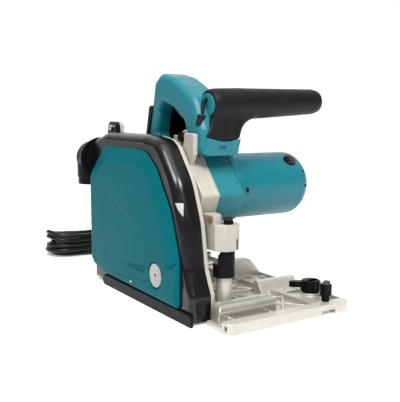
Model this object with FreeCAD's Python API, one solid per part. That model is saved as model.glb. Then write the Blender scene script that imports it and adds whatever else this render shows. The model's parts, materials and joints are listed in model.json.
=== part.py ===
import FreeCAD, Part
import math
import os

# A plunge saw that runs on a guide rail.  Everything is in millimetres.
# The saw is drawn from the base plate's front left bottom corner: X runs to the right along the motor,
# Y to the rear, Z up.  The blade faces left, and the cut runs towards the front (-Y).
# export() then moves the whole model so that its origin is the centre of the base plate's underside.

V = FreeCAD.Vector
X_AXIS, Y_AXIS, Z_AXIS = V(1, 0, 0), V(0, 1, 0), V(0, 0, 1)

# ---- driving dimensions -------------------------------------------------------------------------
BASE_WIDTH, BASE_LENGTH, BASE_HEIGHT = 169.0, 340.0, 12.0
BASE_FLOOR = 5.5              # thickness of the web between the ribs
LIP_DEPTH = 14.0              # solid bar along the front edge
NOTCH_X, NOTCH_Y0, NOTCH_Y1 = 14.0, 42.0, 302.0   # the left side is cut away for the blade case
GROOVE_X0, GROOVE_X1, GROOVE_DEPTH = 126.0, 146.0, 5.2   # guide-rail groove
RIB = 3.0

CASE_X0, CASE_X1 = -16.0, 9.0         # black blade case, from its cover face to the aluminium plate
CASE_WALL = 3.0
PLATE_X0, PLATE_X1 = 9.0, 14.0        # aluminium case plate
COVER_X0, COVER_X1 = -21.0, -16.3     # side cover (door)
CASE_REAR = 300.0

SPINDLE_Y, SPINDLE_Z = 150.0, 83.0
MOTOR_Y, MOTOR_Z = 130.0, 136.37      # 57 mm from the spindle, the centre distance of the gears
GEAR_MODULE, GEAR_TEETH, PINION_TEETH = 1.5, 61, 15
BLADE_R, BLADE_BORE_R, BLADE_KERF, BLADE_TEETH = 80.0, 10.0, 2.2, 48

PIVOT_Y, PIVOT_Z, PIVOT_R = 290.0, 45.0, 6.0
RUNNING = 0.05                        # radial clearance of a running fit

HOUSING_X0, HOUSING_X1, COVER_PLATE_X1 = 16.0, 33.0, 39.0
MOTOR_BLOCK_X1, BARREL_X1, MOTOR_END = 72.0, 174.0, 201.0
BARREL_R, BARREL_WALL = 39.5, 3.5

HANDLE_X0, HANDLE_MID, HANDLE_X1 = 22.0, 42.0, 62.0
HANDLE_WALL = 3.0
GRIP_Y, GRIP_Z0, GRIP_Z1 = 98.0, 232.0, 239.5     # axis of the front grip at its two ends
GRIP_X0, GRIP_X1 = 37.0, 203.0

TOWER_X, TOWER_Y, TOWER_Z0, TOWER_Z1 = 35.0, 60.0, 75.0, 104.0
TURRET_R = 12.2
TURRET_STEPS = (60.0, 67.0, 73.5)     # heights of the three stop faces
STOP_OFFSET = 8.0                     # the depth screw stands this far in front of the turret's axis

NOZZLE_X, NOZZLE_Z, NOZZLE_R, NOZZLE_BORE, COLLAR_LENGTH = -3.0, 165.0, 24.0, 17.5, 7.0
HOSE_R, HOSE_DEPTH = 19.0, 17.0       # socket for a dust hose at the nozzle's outlet
CAM_X, CAM_Y = 150.0, (46.0, 294.0)   # the two rail cams, beside the groove

CORD_R = 3.5
# The lead leaves the gland behind the handle, drops over the pivot and runs along the floor to the hank.
CORD_ROUTE = [
    (44.0, 246.0, 122.0),
    (45.0, 268.0, 104.0),
    (50.0, 300.0, 90.0),
    (60.0, 334.0, 66.0),
    (70.0, 364.0, 34.0),
    (74.0, 394.0, 10.0),
    (72.0, 424.0, 3.9),
    (60.0, 449.5, 4.6),
]
HANK_X0, HANK_X1, HANK_Y0, HANK_Y1, HANK_Z1 = -26.0, 116.0, 446.0, 512.0, 44.0

# smaller features
PLATE_LUGS = ((77, 93), (212, 230))
LUG_SCREW_Z = 17.0
CAM_SHAFT_R, CAM_R, CAM_THROW = 3.6, 4.8, 0.6
CAM_SEAT_Z = 14.0
LEVER_X, LEVER_Y, LEVER_SHAFT_R = 142.0, 12.5, 3.0
LOW_HEAD_SEAT = 3.6
BRACKET_SCREWS = ((50, 271), (50, 309), (78, 271), (78, 309))
BAR_X0, BAR_X1, BAR_Y, BAR_Z0, BAR_Z1 = 5.0, 81.0, 36.0, BASE_FLOOR, 24.0
BAR_SCREWS = (22.0, 64.0)
BOSS_R = 18.0                # the gear housing's boss that carries the spindle's left bearing
LOCK_HEAD_R = 5.4
EAR_Y, EAR_Z = 276.0, 207.0
LOCK_PIN_Y, LOCK_PIN_Z, LOCK_PIN_R = 121.5, 196.5, 3.5
CASE_SCREWS = ((109, 167), (215, 191), (290, 176), (290, 88), (55, 12), (288, 12))
FLUSH = 3.2                  # depth of the counterbores that keep the case screws clear of the head
PLUNGE_DEGREES = 6.0
LOCK_Y, LOCK_Z, LOCK_R = 116.0, 41.5, 14.0
HINGE_X, HINGE_Y, HINGE_Z = -18.6, 297.4, (30.0, 140.0)
KNUCKLES = ((30, 52), (52.4, 84), (84.4, 116), (116.4, 140))     # cover, case, cover, case
ARM_X0, ARM_X1, CHEEK_X0, CHEEK_X1 = 15.0, 47.0, 61.0, 70.0
GEAR_X0, GEAR_X1 = 22.0, 32.0
GEAR_CAVITY_R = 49.0
BEARING_OUT, BEARING_IN = 13.0, 7.5
HOUSING_SCREWS = ((112, 165), (160, 163), (172, 125), (100, 62), (150, 31.6), (199, 66))
SHAFT_LOCK_Y, SHAFT_LOCK_Z, SHAFT_LOCK_R = SPINDLE_Y, SPINDLE_Z - 30.0, 3.0
BRUSH_X, BRUSH_TILT = 164.0, 130.0     # the brushes' place along the motor and their angle in (y, z)
BRUSH_HOLDER_R = 7.0
DIAL_Y, DIAL_Z = MOTOR_Y + 4, MOTOR_Z + 0.0
COMMUTATOR_R, CORE_R = 13.0, 21.0
SHAFT_R = 4.0
GEAR_LINE = math.degrees(math.atan2(MOTOR_Z - SPINDLE_Z, MOTOR_Y - SPINDLE_Y))   # from spindle to motor
PINION_TURN = GEAR_LINE + 180.0                 # a pinion tooth points at the spindle
GEAR_TURN = GEAR_LINE + 180.0 / GEAR_TEETH      # and a gap of the big gear faces it
BLADE_X0 = -0.4
FLANGE_R = 20.0
DEPTH_TIP_Z = 99.4
TRIGGER_OUTLINE = [(128, 215, 2), (131, 221.5, 2), (162, 236, 1), (168, 234, 1), (164, 226.5, 5), (140, 214, 6)]
TRIGGER_PIVOT = (130.5, 218.0)
HANDLE_SCREWS = ((188, 252), (162, 184.5), (207, 180))
BUTTON_Y, BUTTON_Z = 128.0, 240.0
GLAND_START, GLAND_R = (42.0, 226.0, 140.0), 6.5
GLAND_DIRECTION = (V(*CORD_ROUTE[0]) - V(*GLAND_START)).normalize()
KEY_R = 2.3
KEY_X, KEY_Z = GRIP_X0 - 3.4, GRIP_Z0 + 6
KEY_FOOT = (24.5, 95.0, 204.0)
CAM_KNOB_R, CAM_POINTER = 10.5, 27.0
PLUG_AT = (60.0, 524.5, 9.2)

ORIGIN = V(BASE_WIDTH / 2, BASE_LENGTH / 2, 0)
NODES = {}


# ---- shape helpers ------------------------------------------------------------------------------
def block(x, y, z):
    """A box between the given (low, high) pairs."""
    return Part.makeBox(x[1] - x[0], y[1] - y[0], z[1] - z[0], V(x[0], y[0], z[0]))


def rod(start, direction, radius, length):
    return Part.makeCylinder(radius, length, V(*start), direction)


def rod_x(x0, x1, y, z, radius):
    return rod((x0, y, z), X_AXIS, radius, x1 - x0)


def tube_x(x0, x1, y, z, outer, inner):
    return rod_x(x0, x1, y, z, outer).cut(rod_x(x0 - 1, x1 + 1, y, z, inner))


def joined(shapes):
    first, rest = shapes[0], list(shapes[1:])
    return first.fuse(rest).removeSplitter() if rest else first


def outline(corners, place):
    """A closed wire of straight runs; each corner is (u, v) or (u, v, radius of its rounding)."""
    count = len(corners)
    points = [place(c[0], c[1]) for c in corners]
    edges, ends = [], []
    for i, corner in enumerate(corners):
        radius = corner[2] if len(corner) > 2 else 0
        here, before, after = points[i], points[i - 1], points[(i + 1) % count]
        if not radius:
            ends.append((here, here))
            continue
        back, ahead = (before - here).normalize(), (after - here).normalize()
        half = back.getAngle(ahead) / 2
        reach = radius / math.tan(half)
        start, stop = here + back * reach, here + ahead * reach
        middle = (back + ahead).normalize()
        crown = here + middle * (radius / math.sin(half) - radius)
        edges.append(Part.Arc(start, crown, stop).toShape())
        ends.append((start, stop))
    for i in range(count):
        start, stop = ends[i][1], ends[(i + 1) % count][0]
        if start.distanceToPoint(stop) > 1e-6:
            edges.append(Part.LineSegment(start, stop).toShape())
    return Part.Wire(Part.__sortEdges__(edges))


def face_yz(corners, x):
    return Part.Face(outline(corners, lambda y, z: V(x, y, z)))


def prism_x(corners, x0, x1):
    """Corners are (y, z, radius); the prism runs along X."""
    return face_yz(corners, x0).extrude(V(x1 - x0, 0, 0))


def prism_y(corners, y0, y1):
    """Corners are (x, z, radius); the prism runs along Y."""
    return Part.Face(outline(corners, lambda x, z: V(x, y0, z))).extrude(V(0, y1 - y0, 0))


def prism_z(corners, z0, z1):
    """Corners are (x, y, radius); the prism runs along Z."""
    return Part.Face(outline(corners, lambda x, y: V(x, y, z0))).extrude(V(0, 0, z1 - z0))


def inset_x(corners, by, x0, x1):
    """The prism of the same outline moved in by that much."""
    return face_yz(corners, x0).makeOffset2D(-by).extrude(V(x1 - x0, 0, 0))


def turned(profile, start, direction):
    """A solid of revolution; the profile is (distance along the axis, radius)."""
    wire = Part.makePolygon([V(r, 0, a) for a, r in [*profile, profile[0]]])
    solid = Part.Face(wire).revolve(V(0, 0, 0), Z_AXIS, 360)
    solid.Placement = FreeCAD.Placement(V(*start), FreeCAD.Rotation(Z_AXIS, direction))
    return solid


def turned_x(profile, y, z):
    """The profile is (x, radius) about an axis along X."""
    return turned(profile, (0, y, z), X_AXIS)


def polar(y, z, radius, degrees):
    return y + radius * math.cos(math.radians(degrees)), z + radius * math.sin(math.radians(degrees))


def hexagon_x(x0, x1, y, z, across):
    return prism_x([polar(y, z, across / math.sqrt(3), 60 * k) for k in range(6)], x0, x1)


def cap_screw(start, direction, radius, length, head_height=None):
    """A socket-head screw whose head sits at start; the shank runs along direction."""
    height = head_height or radius * 1.8
    head = rod(start, direction * -1, radius * 1.7, height)
    socket = Part.makeCylinder(radius * 0.8, height / 2, V(*start) - direction * height, direction)
    return joined([head.cut(socket), rod(start, direction, radius, length)])


def add(name, shape):
    NODES[name] = shape


# ---- outlines shared by several parts, as (y, z, corner radius) ------------------------------------
CASE_OUTLINE = [
    (46, 2, 1.5), (46, 30, 14), (58.5, 57, 22), (66, 105, 70), (84, 150, 70),
    (118, 192, 34), (152, 197.5, 40), (262, 200, 60), (CASE_REAR, 190, 14), (CASE_REAR, 2, 1.5),
]
COVER_OUTLINE = [
    (68, 14, 4), (68, 66, 50), (86, 117, 60), (119, 163, 30), (143, 180, 24), (160, 182.5, 30),
    (252, 184, 16), (284, 160, 10), (298, 144, 6), (299, 24, 8), (262, 16, 10),
]
MOTOR_BLOCK_OUTLINE = [
    (108, 175, 3), (73, 133, 4), (83, 111, 8), (106, 97, 8), (154, 97, 8), (176, 112, 8),
    (182, 133, 8), (176, 164, 8), (160, 176, 6),
]
HANDLE_OUTLINE = [
    (84, 176.5, 3), (86, 205, 10), (104, 240.5, 14), (131, 256, 60), (154, 267, 50), (180, 272.7, 12),
    (195, 263, 8), (204, 226, 30), (214, 190, 10), (238, 152, 8), (234, 138, 6), (214, 138, 6),
    (200, 168, 6), (184, 176.5, 4),
]
FINGER_LOOP = [
    (118, 192, 8), (126, 213, 8), (150, 229, 20), (176, 237, 8), (186, 226, 8), (193, 200, 8), (186, 191, 6),
]


# ---- base ----------------------------------------------------------------------------------------
def base_plan(notch_x, notch_y0, notch_y1):
    return [
        (0, 0, 6), (BASE_WIDTH, 0, 8), (BASE_WIDTH, BASE_LENGTH, 12), (0, BASE_LENGTH, 8),
        (0, notch_y1, 2), (notch_x, notch_y1, 2), (notch_x, notch_y0, 2), (0, notch_y0, 2),
    ]


def rib_between(a, b, z0, z1, width=RIB):
    """A straight rib between two points of the plan."""
    ax, ay = a
    along = V(b[0] - ax, b[1] - ay, 0)
    solid = Part.makeBox(along.Length, width, z1 - z0, V(0, -width / 2, z0))
    solid.rotate(V(0, 0, 0), Z_AXIS, math.degrees(math.atan2(along.y, along.x)))
    solid.translate(V(ax, ay, 0))
    return solid


def base_plate():
    plan = base_plan(NOTCH_X, NOTCH_Y0, NOTCH_Y1)
    ridge = (GROOVE_X0 - 6, GROOVE_X1 + 6)
    left, right = NOTCH_X + RIB, BASE_WIDTH - RIB
    field = (left, ridge[0])
    rows = [LIP_DEPTH, 62, 108, 154, 204, 252, 300, BASE_LENGTH - 6]
    solid = [prism_z(plan, 0, BASE_FLOOR)]
    solid.append(block((0, BASE_WIDTH), (0, LIP_DEPTH), (0, BASE_HEIGHT)))
    solid.append(block((0, BASE_WIDTH), (BASE_LENGTH - 6, BASE_LENGTH), (0, BASE_HEIGHT)))
    solid.append(block(ridge, (0, BASE_LENGTH), (0, BASE_HEIGHT - 1)))
    for x in (NOTCH_X + RIB / 2, BASE_WIDTH - RIB / 2):
        solid.append(rib_between((x, 0), (x, BASE_LENGTH), 0, BASE_HEIGHT))
    solid.append(rib_between((70, LIP_DEPTH), (70, BASE_LENGTH), 0, BASE_HEIGHT - 2))
    for y in rows[1:-1]:
        solid.append(rib_between((left, y), (right, y), 0, BASE_HEIGHT - 2))
    for low, high in zip(rows[1:-1], rows[2:]):
        solid.append(rib_between((field[0], low), (70, high), 0, BASE_HEIGHT - 3))
        solid.append(rib_between((70, high), (field[1], low), 0, BASE_HEIGHT - 3))
    for x, y in ((60.5, 104), (95, 130), (45, 226), (95, 226), (160, 215), (44, 140)):
        solid.append(rod((x, y, 0), Z_AXIS, 6.5, BASE_HEIGHT - 1))
    # the turret's foot, the lugs that the case plate bolts to, the pivot bracket's pad and the cams' bosses
    solid.append(rod((TOWER_X, TOWER_Y, 0), Z_AXIS, 13, BASE_HEIGHT + 2))
    for y0, y1 in PLATE_LUGS:
        solid.append(block((NOTCH_X, NOTCH_X + 9), (y0, y1), (0, 26)))
    solid.append(block((44, 84), (264, 316), (0, BASE_HEIGHT)))
    for y in CAM_Y:
        solid.append(rod((CAM_X, y, 0), Z_AXIS, 11, CAM_SEAT_Z))
    # two tall cross ribs with sloping ends
    solid.append(prism_x([(82, 3), (102, 3), (102, 22, 2), (94, 22, 3)], 108, right))
    solid.append(prism_y([(92, 3), (98, 22, 4), (133, 32, 6), (151, 32, 6), (right, 14, 2), (right, 3)], 166, 180))
    plate = joined(solid).common(joined([
        prism_z(plan, 0, BASE_HEIGHT),
        block((NOTCH_X, BASE_WIDTH), (18, BASE_LENGTH - 6), (0, 40)),
    ]))
    plate = plate.cut(block((BAR_X0 - 0.5, BAR_X1 + 0.5), (BAR_Y - 11.5, BAR_Y + 10.5), (BASE_FLOOR, 40)))
    cuts = [block((GROOVE_X0, GROOVE_X1), (-1, BASE_LENGTH + 1), (-1, GROOVE_DEPTH))]
    for y in CAM_Y:
        cuts.append(rod((CAM_X, y, 0), Z_AXIS, CAM_SHAFT_R + RUNNING, 40))
        cuts.append(rod((CAM_X, y, -1), Z_AXIS, CAM_R + 1.2, GROOVE_DEPTH + 1))
    cuts.append(rod((TOWER_X, TOWER_Y, 0), Z_AXIS, 4, 40))
    cuts.append(rod((TOWER_X, TOWER_Y, 0), Z_AXIS, 7.5, 5))
    for y0, y1 in PLATE_LUGS:
        cuts.append(rod((0, (y0 + y1) / 2, LUG_SCREW_Z), X_AXIS, 2.5, 40))
    cuts.append(block((129, 142), (148, 158), (-1, 40)))         # open slot through the ridge
    cuts.append(block((-1, 20), (306, BASE_LENGTH + 1), (-1, 40)))   # room for a hose under the nozzle
    cuts.append(rod((LEVER_X, LEVER_Y, 0), Z_AXIS, LEVER_SHAFT_R + RUNNING, 40))
    # slots for the screws of an angle guide in the front edge
    cuts.append(block((-1, 12), (4.5, 8.5), (3.5, 8.5)))
    for x, y in BRACKET_SCREWS:
        cuts.append(rod((x, y, -1), Z_AXIS, 2.5, 40))
        cuts.append(rod((x, y, -1), Z_AXIS, 4.6, LOW_HEAD_SEAT + 1))
    for x in BAR_SCREWS:
        cuts.append(rod((x, BAR_Y, -1), Z_AXIS, 2.5, 40))
        cuts.append(rod((x, BAR_Y, -1), Z_AXIS, 4.6, LOW_HEAD_SEAT + 1))
    return plate.cut(cuts).removeSplitter()


def front_crossbar():
    section = [(BAR_Y - 11, BAR_Z0, 1), (BAR_Y + 10, BAR_Z0, 1), (BAR_Y + 10, BAR_Z1, 6), (BAR_Y - 11, BAR_Z1, 9)]
    low = [(BAR_X0, BAR_Z0, 1), (BAR_X1, BAR_Z0, 1), (BAR_X1, BAR_Z1, 5), (BAR_X0, BAR_Z1, 10)]
    bar = prism_x(section, BAR_X0, BAR_X1).common(prism_y(low, 0, 80))
    bar = bar.cut(block((BAR_X0 - 1, PLATE_X1), (NOTCH_Y0 - 0.5, 80), (0, 60)))
    for x in BAR_SCREWS:
        bar = bar.cut(rod((x, BAR_Y, 0), Z_AXIS, 2.5, 18))
    return bar


def base_screws():
    seat = LOW_HEAD_SEAT
    screws = [cap_screw((x, BAR_Y, seat), Z_AXIS, 2.5, 13, head_height=3) for x in BAR_SCREWS]
    screws += [cap_screw((x, y, seat), Z_AXIS, 2.5, 14, head_height=3) for x, y in BRACKET_SCREWS]
    for y0, y1 in PLATE_LUGS:
        screws.append(cap_screw((PLATE_X0, (y0 + y1) / 2, LUG_SCREW_Z), X_AXIS, 2.5, 12, head_height=3))
    return Part.Compound(screws)


# ---- blade case ------------------------------------------------------------------------------------


def plunged(shape, degrees=PLUNGE_DEGREES):
    moved = shape.copy()
    moved.rotate(V(0, PIVOT_Y, PIVOT_Z), X_AXIS, degrees)
    return moved


def ear(x0, x1, grow=0):
    return prism_x([(EAR_Y - 16 + grow, 190), (EAR_Y + 16, 190), (EAR_Y + 10, EAR_Z + 8, 7),
                    (EAR_Y - 10 + grow, EAR_Z + 8, 7)], x0, x1)


def case_plate():
    foot = prism_x([(46, 2, 1), (48, 30, 6), (86, 30, 4), (86, 2, 1)], PLATE_X0, PLATE_X1)
    plate = joined([prism_x(CASE_OUTLINE, PLATE_X0, PLATE_X1), ear(PLATE_X0, PLATE_X1), foot])
    boss = rod_x(PLATE_X0 - 1, PLATE_X1 + 1, SPINDLE_Y, SPINDLE_Z, BOSS_R + 2)
    cuts = [plunged(boss, PLUNGE_DEGREES * k / 6) for k in range(7)]
    cuts.append(rod_x(0, 40, PIVOT_Y, PIVOT_Z, PIVOT_R))
    cuts.append(rod_x(0, 40, EAR_Y, EAR_Z, 2.5))
    cuts.append(rod_x(0, 40, LOCK_PIN_Y, LOCK_PIN_Z, LOCK_HEAD_R + 0.5))
    for y, z in CASE_SCREWS:
        cuts += [rod_x(0, 40, y, z, 2.0), rod_x(PLATE_X1 - FLUSH, 40, y, z, 3.6)]
    cuts += [rod_x(0, 40, (y0 + y1) / 2, LUG_SCREW_Z, 2.5) for y0, y1 in PLATE_LUGS]
    return plate.cut(cuts).removeSplitter()


def case_shell():
    solid = joined([
        prism_x(CASE_OUTLINE, CASE_X0, CASE_X1),
        ear(2.0, CASE_X1),
    ])
    border = [e for e in solid.Edges if e.BoundBox.XMax < CASE_X0 + 0.01 and e.BoundBox.YMax < CASE_REAR - 1
              and (e.BoundBox.ZMin > 12 or 45 < e.BoundBox.YMin and 1 < e.BoundBox.ZMin and e.BoundBox.YMax < 60)]
    solid = solid.makeFillet(7.0, border)
    inner = face_yz(CASE_OUTLINE, CASE_X0 + CASE_WALL).makeOffset2D(-CASE_WALL)
    hollow = inner.extrude(V(CASE_X1 - CASE_X0, 0, 0))
    below = block((CASE_X0 + CASE_WALL, CASE_X1 + 1), (46 + CASE_WALL, CASE_REAR - CASE_WALL), (-1, 10))
    window = inset_x(COVER_OUTLINE, 9, CASE_X0 - 1, CASE_X0 + CASE_WALL + 1)
    window = window.cut(prism_x([(98, 0), (134, 0), (128, 50, 8), (104, 50, 8)], -40, 40))
    cuts = [hollow, below, window]
    # the dust duct's way out at the rear, the sight slot in the front face and the screw holes
    cuts.append(block((NOZZLE_X - 9, NOZZLE_X + 9), (CASE_REAR - 10, CASE_REAR + 1), (NOZZLE_Z - 18, NOZZLE_Z + 18)))
    cuts.append(sight_slot())
    cuts.append(rod_x(-40, 40, EAR_Y, EAR_Z, 2.5))
    cuts.append(rod_x(-40, 0, LOCK_Y, LOCK_Z, 4.0))
    shell = solid.cut(cuts)
    posts = [rod_x(CASE_X0 + 1, CASE_X1, y, z, 4.5) for y, z in CASE_SCREWS]
    posts.append(tube_x(CASE_X0 + 0.5, CASE_X0 + 9, LOCK_Y, LOCK_Z, 7.0, 4.0))
    shell = joined([shell, *[p.common(solid) for p in posts], *case_knuckles()])
    cuts = [rod_x(CASE_X0 + 4, 40, y, z, 2.0) for y, z in CASE_SCREWS]
    return shell.cut([*cuts, rod((HINGE_X, HINGE_Y, 0), Z_AXIS, 1.2 + RUNNING, 300)]).removeSplitter()


def sight_slot():
    slot = prism_y([(-8, 0, 1), (1, 0, 1), (1, 19, 1), (-6, 19, 1)], -20, 20)
    slot.translate(V(0, 66, 117))
    return slot


def side_cover():
    outer = prism_x(COVER_OUTLINE, COVER_X0, COVER_X1)
    hollow = inset_x(COVER_OUTLINE, 3.0, COVER_X0 + 2.2, COVER_X1 + 1)
    floor = inset_x(COVER_OUTLINE, 12.0, COVER_X0 - 1, COVER_X0 + 0.8)
    seat = tube_x(COVER_X0 + 0.8, COVER_X1, LOCK_Y, LOCK_Z, LOCK_R + 2.5, 4.5)
    cover = joined([outer.cut([hollow, floor]), seat])
    cuts = [rod_x(-40, 0, LOCK_Y, LOCK_Z, 4.5), rod_x(-40, COVER_X0 + 2.2, LOCK_Y, LOCK_Z, LOCK_R)]
    cuts.append(block((-40, 0), (HINGE_Y - 4.2, 320), (HINGE_Z[0] - 0.4, HINGE_Z[1] + 0.4)))
    knuckles = [rod((HINGE_X, HINGE_Y, z0), Z_AXIS, 2.4, z1 - z0) for z0, z1 in KNUCKLES[0::2]]
    arms = [block((HINGE_X - 2.4, HINGE_X + 0.4), (HINGE_Y - 7, HINGE_Y), (z0, z1)) for z0, z1 in KNUCKLES[0::2]]
    cover = joined([cover.cut(cuts), *knuckles, *arms])
    return cover.cut(rod((HINGE_X, HINGE_Y, 0), Z_AXIS, 1.2 + RUNNING, 300)).removeSplitter()


def case_knuckles():
    """The two hinge knuckles that stand on the case's rear left edge."""
    parts = []
    for z0, z1 in KNUCKLES[1::2]:
        parts.append(rod((HINGE_X, HINGE_Y, z0), Z_AXIS, 2.4, z1 - z0))
        parts.append(block((HINGE_X, CASE_X0 + 0.5), (HINGE_Y - 2.4, HINGE_Y + 2.4), (z0, z1)))
    return parts


def hinge_pin():
    return rod((HINGE_X, HINGE_Y, HINGE_Z[0] - 1), Z_AXIS, 1.2, HINGE_Z[1] - HINGE_Z[0] + 2)


def cover_lock_screw():
    head = rod_x(COVER_X0 + 0.2, COVER_X0 + 2.1, LOCK_Y, LOCK_Z, LOCK_R - 0.4)
    shank = rod_x(COVER_X0 + 2.0, CASE_X0 + 4, LOCK_Y, LOCK_Z, 3.4)
    socket = hexagon_x(COVER_X0 - 1, COVER_X0 + 4, LOCK_Y, LOCK_Z, 4)
    return joined([head, shank]).cut(socket)


def case_skid():
    """The rail along the case's foot on the left of the blade; it stands on the work like the base."""
    foot = [(41, 0, 3), (262, 0, 4), (268, 7, 3), (262, 13.5, 3), (48, 13.5, 2), (41, 11, 3)]
    return prism_x(foot, CASE_X0 - 3.5, CASE_X0)


def nozzle_collar():
    y0 = CASE_REAR
    flange = block((CASE_X0, CASE_X1 - 0.5), (y0, y0 + 2.5), (NOZZLE_Z - 24, NOZZLE_Z + 24))
    ring = rod((NOZZLE_X, y0, NOZZLE_Z), Y_AXIS, NOZZLE_R - 3.2, COLLAR_LENGTH)
    lip = rod((NOZZLE_X, y0 + COLLAR_LENGTH - 2, NOZZLE_Z), Y_AXIS, NOZZLE_R - 2.2, 2)
    bore = rod((NOZZLE_X, y0 + 2.5, NOZZLE_Z), Y_AXIS, NOZZLE_R - 5.5, 12)
    inlet = block((NOZZLE_X - 9, NOZZLE_X + 9), (y0 - 1, y0 + 3), (NOZZLE_Z - 16, NOZZLE_Z + 16))
    return joined([flange, ring, lip]).cut([bore, inlet])


def dust_nozzle():
    """An elbow that swivels on the collar; its outlet points down at rest."""
    y0, mid = CASE_REAR + 3.0, CASE_REAR + 3.0 + NOZZLE_R
    run = rod((NOZZLE_X, y0, NOZZLE_Z), Y_AXIS, NOZZLE_R, mid - y0)
    flare = Part.makeCone(NOZZLE_R + 5, NOZZLE_R - 1, 16, V(NOZZLE_X, y0, NOZZLE_Z), Y_AXIS)
    knee = Part.makeSphere(NOZZLE_R, V(NOZZLE_X, mid, NOZZLE_Z))
    drop = rod((NOZZLE_X, mid, NOZZLE_Z), Z_AXIS * -1, NOZZLE_R - 1, 26)
    end = rod((NOZZLE_X, mid, NOZZLE_Z - 26), Z_AXIS * -1, NOZZLE_R - 2, 10)
    end_y = CASE_REAR + COLLAR_LENGTH + 0.2
    socket = rod((NOZZLE_X, y0 - 1, NOZZLE_Z), Y_AXIS, NOZZLE_R - 3.2 + RUNNING, end_y - y0 + 1)
    groove = rod((NOZZLE_X, end_y - 2.4, NOZZLE_Z), Y_AXIS, NOZZLE_R - 2.2 + RUNNING, 2.4)
    inner = rod((NOZZLE_X, end_y - 0.2, NOZZLE_Z), Y_AXIS, NOZZLE_BORE, mid - end_y + 0.2)
    turn = Part.makeSphere(NOZZLE_BORE, V(NOZZLE_X, mid, NOZZLE_Z))
    out = rod((NOZZLE_X, mid, NOZZLE_Z), Z_AXIS * -1, NOZZLE_BORE, 40)
    hose = rod((NOZZLE_X, mid, NOZZLE_Z - 36), Z_AXIS, HOSE_R, HOSE_DEPTH)
    body = run.multiFuse([knee, drop, end]).fuse(flare)
    return body.cut([socket, groove, inner, turn, out, hose])


def case_screws():
    seat = PLATE_X1 - FLUSH
    screws = [cap_screw((seat, y, z), X_AXIS * -1, 2.0, 15, head_height=3) for y, z in CASE_SCREWS]
    screws.append(joined([cap_screw((2.0, EAR_Y, EAR_Z), X_AXIS, 2.5, 16, head_height=3),
                          hexagon_x(PLATE_X1, PLATE_X1 + 4, EAR_Y, EAR_Z, 8)]))
    return Part.Compound(screws)


# ---- pivot -----------------------------------------------------------------------------------------


def pivot_bracket():
    foot = block((46, 82), (266, 314), (BASE_HEIGHT, BASE_HEIGHT + 6))
    cheek = prism_x([(268, BASE_HEIGHT, 1), (312, BASE_HEIGHT, 1), (PIVOT_Y + 12, PIVOT_Z + 12, 11),
                     (PIVOT_Y - 12, PIVOT_Z + 12, 11)], CHEEK_X0, CHEEK_X1)
    cuts = [rod_x(0, 100, PIVOT_Y, PIVOT_Z, PIVOT_R)]
    cuts += [rod((x, y, 0), Z_AXIS, 2.5, 18) for x, y in BRACKET_SCREWS]
    return joined([foot, cheek]).cut(cuts)


def pivot_pin():
    pin = rod_x(PLATE_X0, CHEEK_X1, PIVOT_Y, PIVOT_Z, PIVOT_R)
    return joined([pin, hexagon_x(CHEEK_X1, CHEEK_X1 + 5, PIVOT_Y, PIVOT_Z, 16)])


def plunge_spring():
    """Torsion spring on the pivot pin, drawn as a closed corrugated sleeve."""
    inner, outer, pitch = PIVOT_R + 0.6, PIVOT_R + 4.2, 2.6
    profile = [(ARM_X1 + 0.6, inner), (CHEEK_X0 - 0.3, inner)]
    turns = int((CHEEK_X0 - ARM_X1 - 0.9) / pitch)
    for k in range(turns, 0, -1):
        x = ARM_X1 + 0.6 + k * pitch
        profile += [(x, outer - 1.4), (x - pitch / 2, outer)]
    profile.append((ARM_X1 + 0.6, outer - 1.4))
    return turned_x(profile, PIVOT_Y, PIVOT_Z)


# ---- head: gears and housings ------------------------------------------------------------------------


def housing_outline(x0, x1):
    motor_end = prism_x(MOTOR_BLOCK_OUTLINE, x0, x1)
    gear_end = rod_x(x0, x1, SPINDLE_Y, SPINDLE_Z, GEAR_CAVITY_R + 4)
    return joined([motor_end, gear_end])


def pivot_arm():
    beam = prism_x([(190, 110), (190, 62), (276, 30, 4), (292, 34, 4), (296, 56, 4)], 17, 31)
    barrel = rod_x(ARM_X0, ARM_X1, PIVOT_Y, PIVOT_Z, 13)
    return joined([beam, barrel])


def lock_pin_boss():
    y, z = LOCK_PIN_Y, LOCK_PIN_Z
    return joined([rod_x(22.5, 33, y, z, 8.5), block((22.5, 33), (y - 4, y + 26), (170, z + 2)),
                   block((22.5, 33), (y - 8.5, y + 8.5), (170, z - 6))])


def gear_housing():
    cheek = prism_x([(113.5, 201.5, 3), (92, 200.5, 3), (92.5, 178, 3), (104, 160), (118, 160), (119, 184, 3), (113.5, 190, 2)],
                    HOUSING_X0, 21.6)
    shell = joined([housing_outline(HOUSING_X0, HOUSING_X1), pivot_arm(), lock_pin_boss(), cheek,
                    rod_x(8, HOUSING_X0, SPINDLE_Y, SPINDLE_Z, BOSS_R)])
    cuts = [
        rod_x(HOUSING_X0 + 5, 50, SPINDLE_Y, SPINDLE_Z, GEAR_CAVITY_R),
        rod_x(HOUSING_X0 + 4, 50, MOTOR_Y, MOTOR_Z, 14.5),
        rod_x(8, 50, SPINDLE_Y, SPINDLE_Z, BEARING_IN + 0.6),
        rod_x(9, HOUSING_X0 + 6, SPINDLE_Y, SPINDLE_Z, BEARING_OUT),
        rod_x(0, 60, PIVOT_Y, PIVOT_Z, PIVOT_R + RUNNING),
        rod_x(0, 60, LOCK_PIN_Y, LOCK_PIN_Z, LOCK_PIN_R + RUNNING),
    ]
    cuts += [rod_x(HOUSING_X1 - 9, 60, y, z, 2.0) for y, z in HOUSING_SCREWS]
    return shell.cut(cuts).removeSplitter()


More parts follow.
